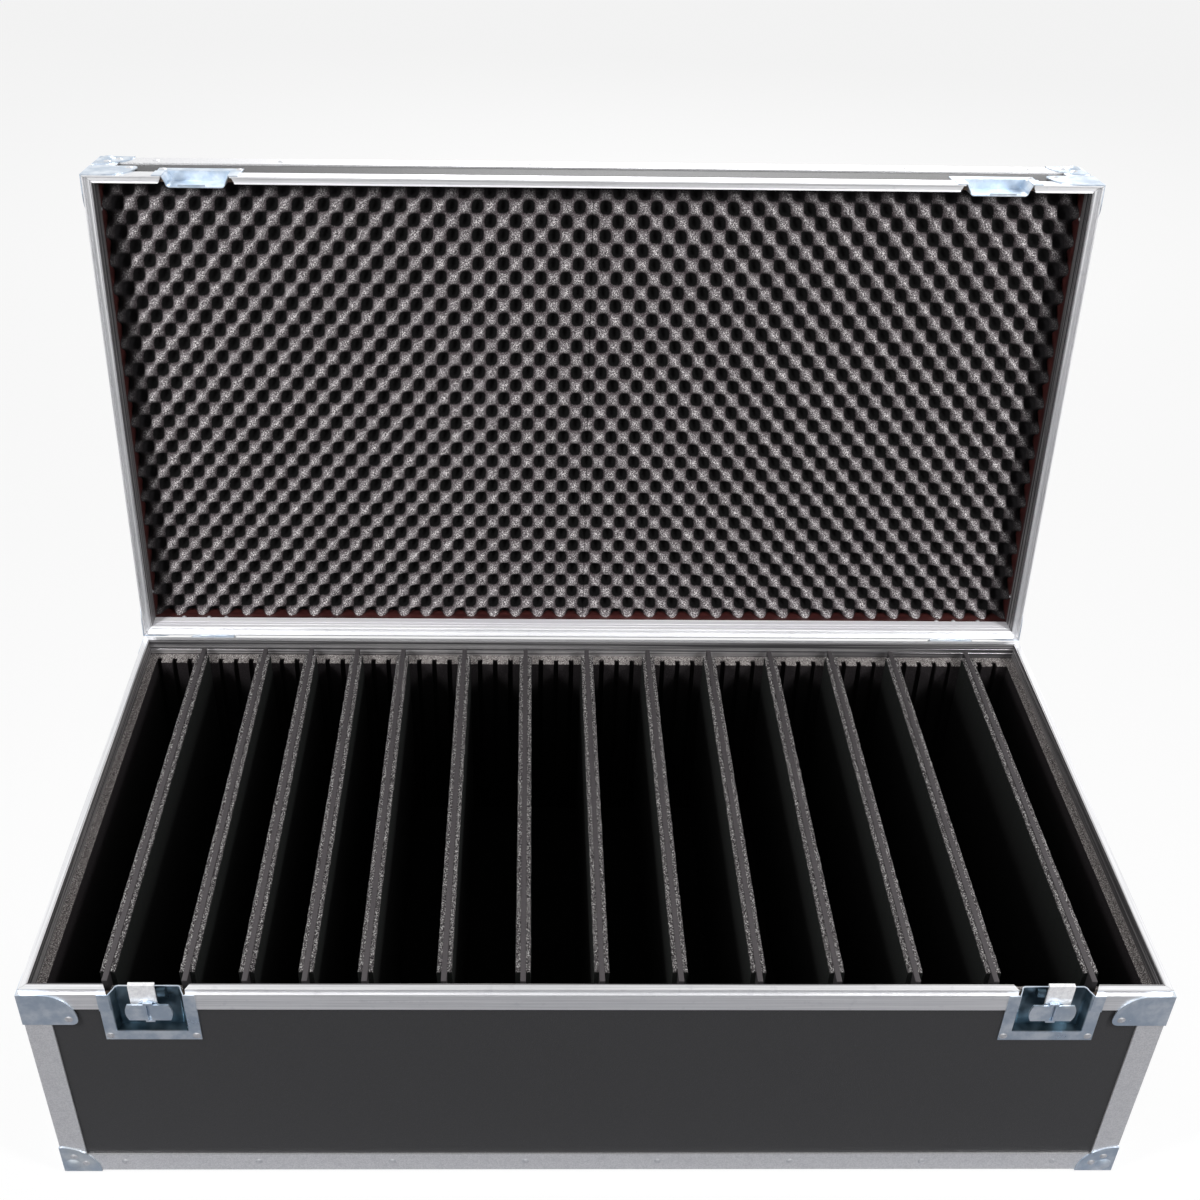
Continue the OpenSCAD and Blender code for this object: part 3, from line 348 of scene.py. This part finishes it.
def satin_steel(name):
    """Pale satin plating of the latch hooks."""
    finish = Finish(name)
    scuffs = finish.noise(240.0, 4.0, 0.7)
    colour = finish.blend((0.80, 0.80, 0.82), (0.97, 0.97, 0.98), scuffs.between(0.35, 0.65))
    finish.surface(Base_Color=colour, Metallic=0.45, Roughness=0.35 + scuffs * 0.1,
                   Normal=finish.bump(scuffs, 0.00005, 0.4))
    return finish.material


def faced_plywood(name, inward, inner_at, two_sided=False):
    """Plywood with a red-brown film inside, dark laminate outside and its layers on the edges.
    inward points to the inner face, which lies inner_at metres along it; two_sided is for a pair
    of panels that face each other."""
    finish = Finish(name)
    depth = finish.along(inward)
    if two_sided:
        depth = -1.0 * abs(depth)
    depth = (depth - inner_at) * TO_MM
    inside = depth.between(-0.3, -0.1)
    outside = 1 - depth.between(-PLY + 0.1, -PLY + 0.3)
    grain = finish.noise(1.0, 4.0, 0.6, finish.mapped((7.0, 90.0, 90.0)))
    pores = finish.noise(420.0, 2.0)
    film = finish.blend((0.030, 0.008, 0.008), (0.075, 0.020, 0.018), grain.between(0.3, 0.72))
    pebble = finish.cells(900.0)
    laminate = finish.blend((0.014, 0.014, 0.015), (0.030, 0.030, 0.032), pebble)
    layer = (depth * (1 / PLY_LAYER)).fraction()
    edge = finish.blend((0.17, 0.12, 0.085), (0.09, 0.060, 0.040), layer.between(0.45, 0.55))
    edge = finish.blend(edge, (0.10, 0.055, 0.03), grain * 0.5)
    colour = finish.blend(finish.blend(edge, film, inside), laminate, outside)
    relief = pores * inside + pebble * outside * 1.6 + grain * 0.4
    finish.surface(Base_Color=colour, Roughness=0.62 - inside * 0.28 - outside * 0.14 + pores * 0.1,
                   Normal=finish.bump(relief, 0.00012, 0.6), Coat_Weight=inside * 0.25)
    return finish.material


def foam_speckle(finish, dark, light, spark, cells=540.0):
    """Cut face of open cell foam: fine light and dark cells with a few sparks."""
    fine = finish.noise(cells, 1.0, 0.6)
    coarse = finish.noise(0.55 * cells, 1.0, 0.6)
    sparks = finish.noise(1.2 * cells, 0.0).between(0.57, 0.66)
    tone = fine.between(0.43, 0.57) * 0.65 + coarse.between(0.42, 0.58) * 0.35
    return finish.blend(finish.blend(dark, light, tone), spark, sparks * 0.9), fine


def egg_crate_foam(name, out, surface_at, deep, across, front_at):
    """Open cells on the peaks, with painted shade that darkens the slopes and turns the hollows
    near black, and a painted shadow of the lid's walls along its edges.
    out points out of the foam, its surface lies surface_at along it and it is deep metres down to
    the hollows. across points from the lid's front to its hinges, and the front edge lies front_at
    along it."""
    finish = Finish(name)
    colour, fine = foam_speckle(finish, dark=(0.056, 0.048, 0.051), light=(0.29, 0.265, 0.275),
                                spark=(0.74, 0.71, 0.71))
    depth = (surface_at - finish.along(out)) * (1 / deep)
    ragged_shade_depth = depth + (fine - 0.5) * 0.22
    # Painted shade: with depth the slopes darken and the hollows turn near black.
    colour = finish.blend(colour, (0.050, 0.036, 0.041), ragged_shade_depth.between(0.16, 0.56) * 0.8)
    colour = finish.blend(colour, (0.0022, 0.0022, 0.0022), ragged_shade_depth.between(0.54, 0.66))
    # Painted shadow of the lid's walls: dark within 10 mm of the sides and the front edge, fading
    # out by 36 mm.
    from_side = INNER_HALF_W - abs(finish.along((1, 0, 0)) * TO_MM)
    from_front = (finish.along(across) - front_at) * TO_MM
    rim = 1 - from_side.least(from_front).between(10.0, 36.0)
    colour = finish.blend(colour, (0.010, 0.009, 0.010), rim * 0.85)
    finish.surface(Base_Color=colour, Roughness=0.95, Specular_IOR_Level=0.2,
                   Normal=finish.bump(fine, 0.0010, 0.8))
    return finish.material


def cut_foam(name, top_at, dark, light, spark, side, deep_side_shade):
    """Packing foam: its cut top, at height top_at in millimetres, shows the foam's speckle; its
    faces carry painted shade, dark and darker further down."""
    finish = Finish(name)
    colour, fine = foam_speckle(finish, dark, light, spark, 700.0)
    height = finish.along((0, 0, 1)) * TO_MM - top_at
    top = (height + (fine - 0.5) * 2.4).between(-2.2, -1.2)
    # Painted light: cells on the faces turn lighter within 60 mm of the top.
    lit_cells = fine.between(0.52, 0.72) * height.between(-60.0, 0.0)
    # Painted shade: the faces are dark, and darker further down.
    face = finish.blend(deep_side_shade, side, height.between(-75.0, -4.0))
    face = finish.blend(face, tuple(2.2 * part for part in side), lit_cells)
    finish.surface(Base_Color=finish.blend(face, colour, top), Roughness=0.95,
                   Specular_IOR_Level=0.15, Normal=finish.bump(fine, 0.0008, 0.8))
    return finish.material


def stiff_core(name):
    """Dense closed board of a divider's core, nearly smooth, with painted shade on its faces below
    its top.
    """
    finish = Finish(name)
    fine = finish.noise(700.0, 2.0)
    streaks = finish.noise(1.0, 3.0, 0.6, finish.mapped((260.0, 14.0, 120.0)))
    mixed = fine * 0.35 + streaks * 0.65
    edge = finish.blend((0.031, 0.027, 0.029), (0.062, 0.055, 0.059), mixed)
    # Painted shade: the core's faces below its top are near black.
    face = finish.blend((0.006, 0.005, 0.006), (0.012, 0.010, 0.012), fine)
    top = (finish.along((0, 0, 1)) * TO_MM - DIVIDER_HIGH).between(-1.4, -0.4)
    finish.surface(Base_Color=finish.blend(face, edge, top), Roughness=0.72,
                   Normal=finish.bump(fine + streaks, 0.0001, 0.4))
    return finish.material


def moulded_rubber(name):
    """Black rubber of the handle grips with a fine moulded texture."""
    finish = Finish(name)
    ribs = finish.node("ShaderNodeTexWave", {"wave_type": "BANDS", "bands_direction": "Y"}, {
        "Vector": finish.place, "Scale": 60.0, "Distortion": 0.0})["Fac"]
    fine = finish.noise(600.0, 2.0)
    colour = finish.blend((0.012, 0.012, 0.013), (0.034, 0.034, 0.036), fine)
    finish.surface(Base_Color=colour, Roughness=0.55 + fine * 0.2,
                   Normal=finish.bump(ribs + fine * 0.4, 0.0004, 0.6))
    return finish.material


def pale_floor(name):
    """White studio floor that keeps its shadow, and is grey where metal mirrors it."""
    finish = Finish(name)
    tone = finish.noise(2.0, 2.0)
    plain = finish.blend((0.88, 0.88, 0.88), (0.92, 0.92, 0.92), tone)
    rays = finish.node("ShaderNodeLightPath")
    mirrored = finish.blend(plain, (0.26, 0.26, 0.28), rays["Is Glossy Ray"])
    finish.surface(Base_Color=mirrored, Roughness=0.8)
    glow = finish.node("ShaderNodeEmission", None, {"Color": WHITE, "Strength": 1.0})["Emission"]
    mixed = finish.node("ShaderNodeMixShader", None, {
        0: rays["Is Camera Ray"] * FLOOR_GLOW,
        1: Socket(finish, finish.shader.outputs["BSDF"]),
        2: glow})["Shader"]
    finish.join(finish.tree.nodes["Material Output"].inputs["Surface"], mixed)
    return finish.material


# Camera and studio
def add_camera():
    """The camera at the photograph's viewing angle, fitted to the rails of the open case."""
    data = bpy.data.cameras.new("camera")
    data.sensor_width = 36
    data.lens = 45
    data.clip_start = 0.05
    data.clip_end = 60
    camera = bpy.data.objects.new("camera", data)
    data.shift_x = 0.0377
    data.shift_y = 0.0126
    camera.location = (-0.08035, -1.51943, 1.61081)
    camera.rotation_mode = "ZYX"
    camera.rotation_euler = (0.95604, -0.01755, 0.00564)
    bpy.context.scene.collection.objects.link(camera)
    bpy.context.scene.camera = camera


def add_softbox(name, place, aim, size, power, spread=180):
    """A rectangular lamp at place that faces aim, with its power in watts."""
    data = bpy.data.lights.new(name, "AREA")
    data.shape = "RECTANGLE"
    data.size, data.size_y = size
    data.energy = power
    data.spread = math.radians(spread)
    lamp = bpy.data.objects.new(name, data)
    lamp.location = place
    lamp.rotation_euler = (Vector(aim) - Vector(place)).to_track_quat("-Z", "Y").to_euler()
    bpy.context.scene.collection.objects.link(lamp)


def add_studio():
    """White surroundings, three soft lamps and a pale floor."""
    world = bpy.data.worlds.new("studio")
    world.use_nodes = True
    air = NodeTree(world.node_tree)
    soft = air.node("ShaderNodeBackground", None, {"Color": WHITE, "Strength": 0.25})["Background"]
    white = air.node("ShaderNodeBackground", None, {"Color": WHITE, "Strength": 1.0})["Background"]
    mixed = air.node("ShaderNodeMixShader", None, {
        0: air.seen_directly(), 1: soft, 2: white})["Shader"]
    air.join(world.node_tree.nodes["World Output"].inputs["Surface"], mixed)
    bpy.context.scene.world = world
    add_softbox("softbox_left", (-1.6, -1.2, 1.75), (-0.42, 0.1, 0.5), (0.45, 0.45), 16, 110)
    add_softbox("softbox_right", (1.6, -1.2, 1.75), (0.42, 0.1, 0.5), (0.45, 0.45), 16, 110)
    add_softbox("softbox_back", (0.4, 3.4, 2.2), (0, 0, 0.4), (2.0, 1.2), 50)
    mesh = bpy.data.meshes.new("studio_floor")
    built = bmesh.new()
    bmesh.ops.create_grid(built, x_segments=1, y_segments=1, size=15)
    built.to_mesh(mesh)
    built.free()
    floor = bpy.data.objects.new("studio_floor", mesh)
    mesh.materials.append(pale_floor("pale_floor"))
    bpy.context.scene.collection.objects.link(floor)


# Shapes that several pieces use
def piece_from(built, name, material, body, replaced, smooth_below=35):
    """Turns a finished bmesh, worked out in millimetres, into a piece that rides on its body."""
    bmesh.ops.scale(built, vec=(MM, MM, MM), verts=built.verts)
    if body == "lid":
        bmesh.ops.transform(built, matrix=LID_PLACE, verts=built.verts)
    bmesh.ops.recalc_face_normals(built, faces=built.faces)
    mesh = bpy.data.meshes.new(name)
    for face in built.faces:
        face.smooth = True
    built.to_mesh(mesh)
    built.free()
    mesh.set_sharp_from_angle(angle=math.radians(smooth_below))
    mesh.materials.append(material)
    piece = bpy.data.objects.new(name, mesh)
    bpy.context.scene.collection.objects.link(piece)
    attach(piece, body)
    if replaced:
        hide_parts(*replaced)
    return piece


def add_prism(built, outline, low, high, edge=0.0):
    """Stands a closed outline up from low to high, with its upper edge rounded off by edge."""
    corners = [built.verts.new((x, y, low)) for x, y in outline]
    base = built.faces.new(corners)
    raised = bmesh.ops.extrude_face_region(built, geom=[base])["geom"]
    upper = [part for part in raised if isinstance(part, bmesh.types.BMVert)]
    bmesh.ops.translate(built, vec=(0, 0, high - low), verts=upper)
    if edge:
        rim = {side for vert in upper for side in vert.link_edges if side.other_vert(vert) in upper}
        bmesh.ops.bevel(built, geom=list(rim), offset=edge, segments=2, affect="EDGES",
                        profile=0.5, material=-1)


def add_block(built, low, high, edge=0.0):
    """A block between two corners, with its edges rounded off by edge."""
    made = bmesh.ops.create_cube(built, size=1)["verts"]
    size = [b - a for a, b in zip(low, high)]
    middle = [(a + b) / 2 for a, b in zip(low, high)]
    bmesh.ops.scale(built, vec=size, verts=made)
    bmesh.ops.translate(built, vec=middle, verts=made)
    if edge:
        sides = {side for vert in made for side in vert.link_edges}
        bmesh.ops.bevel(built, geom=list(sides), offset=edge, segments=2, affect="EDGES",
                        profile=0.5, material=-1)


def case_y(y):
    """A depth from the middle of the case, as a depth in the shared frame."""
    return y - MIDDLE_Y


# Lid foam
def crate_sunk(across, up, lean):
    """0 on a peak and 1 in a hollow; peaks stand where the sum of both whole numbers is even.
    lean raises the ridges between peaks along one diagonal, or the other where it is negative."""
    near_x, near_y = round(across), round(up)
    off_x, off_y = across - near_x, up - near_y
    if (near_x + near_y) % 2 == 0:
        if abs(off_x) > abs(off_y):
            off_x -= math.copysign(1, off_x)
        else:
            off_y -= math.copysign(1, off_y)
    round_hollow = min(1.0, max(0.0, (HOLLOW_REACH - math.hypot(off_x, off_y)) / HOLLOW_SLOPE))
    round_hollow = round_hollow * round_hollow * (3 - 2 * round_hollow)
    swing = math.cos(math.pi * across) * math.cos(math.pi * up)
    ridge = math.sin(math.pi * across) * math.sin(math.pi * up)
    return (ROUND_SHARE * round_hollow + (1 - ROUND_SHARE) * (1 - swing) / 2
            + RIDGE_RISE * lean * ridge * (1 - round_hollow))


def egg_crate(name, start, material):
    """Half of the lid's foam: rounded peaks and hollows in a chequer, cut straight at its edges."""
    width, depth = INNER_HALF_W, 2 * INNER_HALF_D
    halves_x = 2 * round(width / CRATE_PITCH_X)
    halves_y = 2 * round(depth / CRATE_PITCH_Y)
    built = bmesh.new()
    bmesh.ops.create_grid(built, x_segments=CRATE_STEPS * halves_x,
                          y_segments=CRATE_STEPS * halves_y, size=0.5)
    for vert in built.verts:
        across, up = vert.co.x + 0.5, vert.co.y + 0.5
        x = start + CRATE_EDGE + (width - 2 * CRATE_EDGE) * across
        y = case_y(-INNER_HALF_D + CRATE_EDGE + (depth - 2 * CRATE_EDGE) * up)
        lean = max(-1.0, min(1.0, -x / CRATE_LEAN))
        sunk = crate_sunk(halves_x * across, halves_y * up, lean)
        loose = noise.noise(Vector((x, y, 0)) * 0.035) * 1.1
        fine = noise.noise(Vector((x, y, 7)) * 0.33) * 0.45
        vert.co = (x, y, CRATE_LOW + CRATE_CLEAR + CRATE_PEAK * sunk + loose * sunk + fine)
    rim = [side for side in built.edges if side.is_boundary]
    raised = bmesh.ops.extrude_edge_only(built, edges=rim)["geom"]
    top = [part for part in raised if isinstance(part, bmesh.types.BMVert)]
    for vert in top:
        vert.co.z = CRATE_HIGH - 0.1
    bmesh.ops.holes_fill(built, edges=[side for side in built.edges if side.is_boundary], sides=0)
    replaced = [name.replace("egg_crate", "lid_foam")]
    return piece_from(built, name, material, "lid", replaced, 60)


def lid_foams():
    """Both halves of the lid's foam, with one finish that knows how the lid stands."""
    out = (LID_PLACE.to_3x3() @ Vector((0, 0, -1))).normalized()
    surface_at = (LID_PLACE @ (Vector((0, 0, CRATE_LOW)) * MM)).dot(out)
    across = (LID_PLACE.to_3x3() @ Vector((0, 1, 0))).normalized()
    front_at = (LID_PLACE @ (Vector((0, case_y(-INNER_HALF_D), 0)) * MM)).dot(across)
    material = egg_crate_foam("egg_crate_foam", out, surface_at, CRATE_PEAK * MM, across, front_at)
    for name, start in (("egg_crate_left", -INNER_HALF_W), ("egg_crate_right", 0)):
        egg_crate(name, start, material)


# Base foam
def comb_outline(side, notched):
    """Outline from above of the front (side -1) or back (side 1) foam, with a slot at every pitch;
    notched leaves out the latch recesses."""
    outer = side * INNER_HALF_D
    inner = side * (INNER_HALF_D - SLOT_FOAM)
    deep = side * (INNER_HALF_D - SLOT_FOAM + SLOT_DEEP)
    points = [(-INNER_HALF_W, inner)]
    for number in range(SLOTS):
        middle = FIRST_SLOT + number * SLOT_PITCH
        left, right = middle - SLOT_W / 2, middle + SLOT_W / 2
        points += [(left, inner), (left, deep), (right, deep), (right, inner)]
    points += [(INNER_HALF_W, inner), (INNER_HALF_W, outer)]
    if notched:
        cut = side * (INNER_HALF_D + WALL - LATCH_POCKET_D)
        for middle in (LATCH_SHIFT + LATCH_X, LATCH_SHIFT - LATCH_X):
            points += [(middle + LATCH_POCKET, outer), (middle + LATCH_POCKET, cut),
                       (middle - LATCH_POCKET, cut), (middle - LATCH_POCKET, outer)]
    points.append((-INNER_HALF_W, outer))
    return [(x, case_y(y)) for x, y in points]


def slotted_foams(material):
    """Foam along the front and the back; the front one is cut back behind the latch recesses."""
    pocket_floor = SEAM_Z - LATCH_POCKET_H
    for name, side, node in (("slotted_foam_front", -1, "base_foam_front"),
                             ("slotted_foam_back", 1, "base_foam_back")):
        built = bmesh.new()
        if side < 0:
            add_prism(built, comb_outline(side, False), FLOOR_Z, pocket_floor)
            add_prism(built, comb_outline(side, True), pocket_floor, FOAM_TOP_Z, FOAM_EDGE)
        else:
            add_prism(built, comb_outline(side, False), FLOOR_Z, FOAM_TOP_Z, FOAM_EDGE)
        piece_from(built, name, material, "base", [node])


def end_foams(material):
    """Plain foam at both ends, hollowed out behind the handle recesses."""
    half_d = INNER_HALF_D - SLOT_FOAM
    inner = INNER_HALF_W - END_FOAM
    pocket = INNER_HALF_W + WALL - HANDLE_POCKET_D
    outer = INNER_HALF_W
    under, over = HANDLE_Z - HANDLE_POCKET_H, HANDLE_Z + HANDLE_POCKET_H
    round_pocket = (((-half_d, FLOOR_Z), (half_d, under)),
                    ((-half_d, over), (half_d, FOAM_TOP_Z)),
                    ((-half_d, under), (-HANDLE_POCKET, over)),
                    ((HANDLE_POCKET, under), (half_d, over)))
    for name, side in (("end_foam_left", -1), ("end_foam_right", 1)):
        built = bmesh.new()
        add_block(built, (inner, case_y(-half_d), FLOOR_Z),
                  (pocket, case_y(half_d), FOAM_TOP_Z), FOAM_EDGE)
        for low, high in round_pocket:
            add_block(built, (pocket, case_y(low[0]), low[1]), (outer, case_y(high[0]), high[1]))
        if side < 0:
            bmesh.ops.scale(built, vec=(-1, 1, 1), verts=built.verts)
        replaced = ["base_foam_ends"] if side < 0 else []
        piece_from(built, name, material, "base", replaced)


def floor_foam(material):
    """Foam on the floor, under the dividers."""
    built = bmesh.new()
    half_w = INNER_HALF_W - END_FOAM
    half_d = INNER_HALF_D - SLOT_FOAM
    add_block(built, (-half_w, case_y(-half_d), FLOOR_Z),
              (half_w, case_y(half_d), FOAM_FLOOR_Z), FLOOR_FOAM_EDGE)
    piece_from(built, "floor_foam", material, "base", ["base_foam_floor"])


# Dividers
def add_pad(built, x, side, shuffle):
    """Foam pad on one face of a divider at x: its profile, swept from the front of the case to the
    back, with a ragged upper edge and ends. shuffle moves the raggedness for each pad."""
    top = DIVIDER_HIGH - PAD_LOW
    profile = [(0, DIVIDER_LOW), (PAD_T, DIVIDER_LOW)]
    profile += [(PAD_T, top - drop) for drop in PAD_DROPS]
    profile += [(PAD_T - 0.5, top - 0.7), (PAD_T - 1.5, top), (PAD_T - 3, top), (1.5, top),
                (0, top - 0.2), (0, top - 40)]
    profile.append(profile[0])
    around = len(profile) - 1
    swept = bmesh.ops.create_grid(built, x_segments=around, y_segments=PAD_STEPS, size=0.5)["verts"]
    for vert in swept:
        out, z = profile[round((vert.co.x + 0.5) * around)]
        y = PAD_HALF * 2 * vert.co.y
        vert.co = (x + side * (CORE_T / 2 + out), case_y(y), z)
        loose = max(0.0, 1 - (top - z) / RAGGED_REACH)
        if out > 0.2:
            slow = noise.noise(vert.co * 0.06 + shuffle) * 0.35
            quick = noise.noise(vert.co * 0.55 + shuffle) * 0.75 * loose
            vert.co.x += side * (slow + quick - 0.35 - 0.2 * loose)
        if z > top - 3 and out > 0:
            vert.co.z += noise.noise(vert.co * 0.6 - shuffle) * 0.9 - 0.35
        if abs(y) > PAD_HALF - 0.1:
            vert.co.y += math.copysign(noise.noise(vert.co * 0.4 + shuffle) * 0.8 - 0.5, y)
    bmesh.ops.remove_doubles(built, verts=swept, dist=0.01)
    bmesh.ops.holes_fill(built, edges=[edge for edge in built.edges if edge.is_boundary], sides=0)


def divider(number, x, core_material, pad_material):
    """A stiff core with a foam pad on both faces, at x along the case."""
    node = f"divider_{number:02d}"
    core = bmesh.new()
    add_block(core, (x - CORE_T / 2, case_y(-CORE_HALF), DIVIDER_LOW),
              (x + CORE_T / 2, case_y(CORE_HALF), DIVIDER_HIGH), CORE_EDGE)
    piece_from(core, f"divider_core_{number:02d}", core_material, node, [node])
    pads = bmesh.new()
    for side in (-1, 1):
        add_pad(pads, x, side, Vector((number, 5 * side, 0)))
    pair = piece_from(pads, f"divider_pads_{number:02d}", pad_material, node,
                      [node])


def dividers():
    """Every divider in the slots that its CAD node stands in."""
    core_material = stiff_core("divider_core")
    # The pads' faces are painted dark as the shade between dividers, darker further down.
    pad_material = cut_foam("divider_pad_foam", DIVIDER_HIGH - PAD_LOW,
                            dark=(0.004, 0.0035, 0.0035), light=(0.100, 0.090, 0.094),
                            spark=(0.46, 0.45, 0.44), side=(0.007, 0.008, 0.0075),
                            deep_side_shade=(0.003, 0.003, 0.003))
    for number in range(1, DIVIDERS + 1):
        low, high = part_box(f"divider_{number:02d}")
        divider(number, (low.x + high.x) / 2 / MM, core_material, pad_material)


# CAD nodes that stay
def dress(material, *names):
    """Gives CAD nodes their finish."""
    for name in names:
        mesh = nodes[name].data
        if not mesh.materials:
            mesh.materials.append(None)
        for slot in nodes[name].material_slots:
            slot.material = material


def dress_frame():
    """Finishes of the rails, fittings, fasteners and grips."""
    long, short = Vector((1, 0, 0)), Vector((0, 1, 0))
    across_lid = LID_PLACE.to_3x3() @ short
    lid_middle = (LID_PLACE @ (Vector((0, -MIDDLE_Y, 0)) * MM)).dot(across_lid) / MM
    dress(satin_aluminium("satin_aluminium"), "base_edge_angles", "lid_edge_angles")
    # Near white painted reflection on the inner legs of the lid's long rails, with little metal.
    dress(drawn_aluminium("drawn_aluminium_lid_long", long, (across_lid, lid_middle, INNER_HALF_D),
                          leg_dark_reflection=(0.80, 0.79, 0.83), leg_light_reflection=(0.97, 0.97, 0.98),
                          leg_metal=0.15), "lid_rails_long")
    dress(drawn_aluminium("drawn_aluminium_base_long", long, (short, -MIDDLE_Y, INNER_HALF_D)),
          "base_rails_long")
    dress(drawn_aluminium("drawn_aluminium_base_short", short, (long, 0, INNER_HALF_W)),
          "base_rails_short")
    dress(drawn_aluminium("drawn_aluminium_lid_short", across_lid, (long, 0, INNER_HALF_W)),
          "lid_rails_short")
    zinc = zinc_plate("zinc_plate")
    dress(latch_dish_zinc("latch_dish_zinc", case_y(-INNER_HALF_D - WALL), SEAM_Z), "latch_dishes")
    dress(zinc, "keeper_dishes", "handle_dishes", "base_ball_corners", "lid_ball_corners",
          "base_rim_braces", "lid_rim_braces", "handle_bail_left", "handle_bail_right",
          "latch_rotor_left", "latch_rotor_right", "wing_outer_left", "wing_inner_left",
          "wing_inner_right", "wing_outer_right", "hinge_base_leaves", "hinge_lid_leaves")
    dress(plain_steel("plain_steel"), "base_rivets", "lid_rivets", "hinge_pins")
    dress(satin_steel("satin_steel"), "latch_hook_left", "latch_hook_right")
    dress(moulded_rubber("moulded_rubber"), "handle_grip_left", "handle_grip_right")


def dress_panels():
    """Plywood of all panels, each with its film on the face that points into the case."""
    back, front = Vector((0, 1, 0)), Vector((0, -1, 0))
    up, down = Vector((0, 0, 1)), Vector((0, 0, -1))
    left_out = Vector((-1, 0, 0))
    panels = [("front_panel", back, Vector((0, case_y(-INNER_HALF_D), 0))),
              ("back_panel", front, Vector((0, case_y(INNER_HALF_D), 0)))]
    for body in ("base", "lid"):
        turn = LID_PLACE.to_3x3() if body == "lid" else Matrix.Identity(3)
        flat = ("top_panel", down, Vector((0, 0, CRATE_HIGH))) if body == "lid" else (
            "bottom_panel", up, Vector((0, 0, FLOOR_Z)))
        for kind, inward, point in [*panels, flat]:
            place = LID_PLACE @ (point * MM) if body == "lid" else point * MM
            turned = turn @ inward
            panel = faced_plywood(f"{body}_{kind}_plywood", turned, place.dot(turned))
            dress(panel, f"{body}_{kind}")
        ends = faced_plywood(f"{body}_end_panels_plywood", left_out, -INNER_HALF_W * MM,
                             two_sided=True)
        dress(ends, f"{body}_end_panels")


add_camera()
add_studio()
dress_frame()
dress_panels()
lid_foams()
# The packing foam's faces are painted dark as shade, darker further down.
packing = cut_foam("packing_foam", FOAM_TOP_Z,
                   dark=(0.045, 0.039, 0.038), light=(0.24, 0.215, 0.210),
                   spark=(0.50, 0.48, 0.46), side=(0.012, 0.010, 0.011),
                   deep_side_shade=(0.003, 0.003, 0.003))
slotted_foams(packing)
end_foams(packing)
floor_foam(packing)
dividers()

bpy.context.scene.view_settings.view_transform = "Standard"
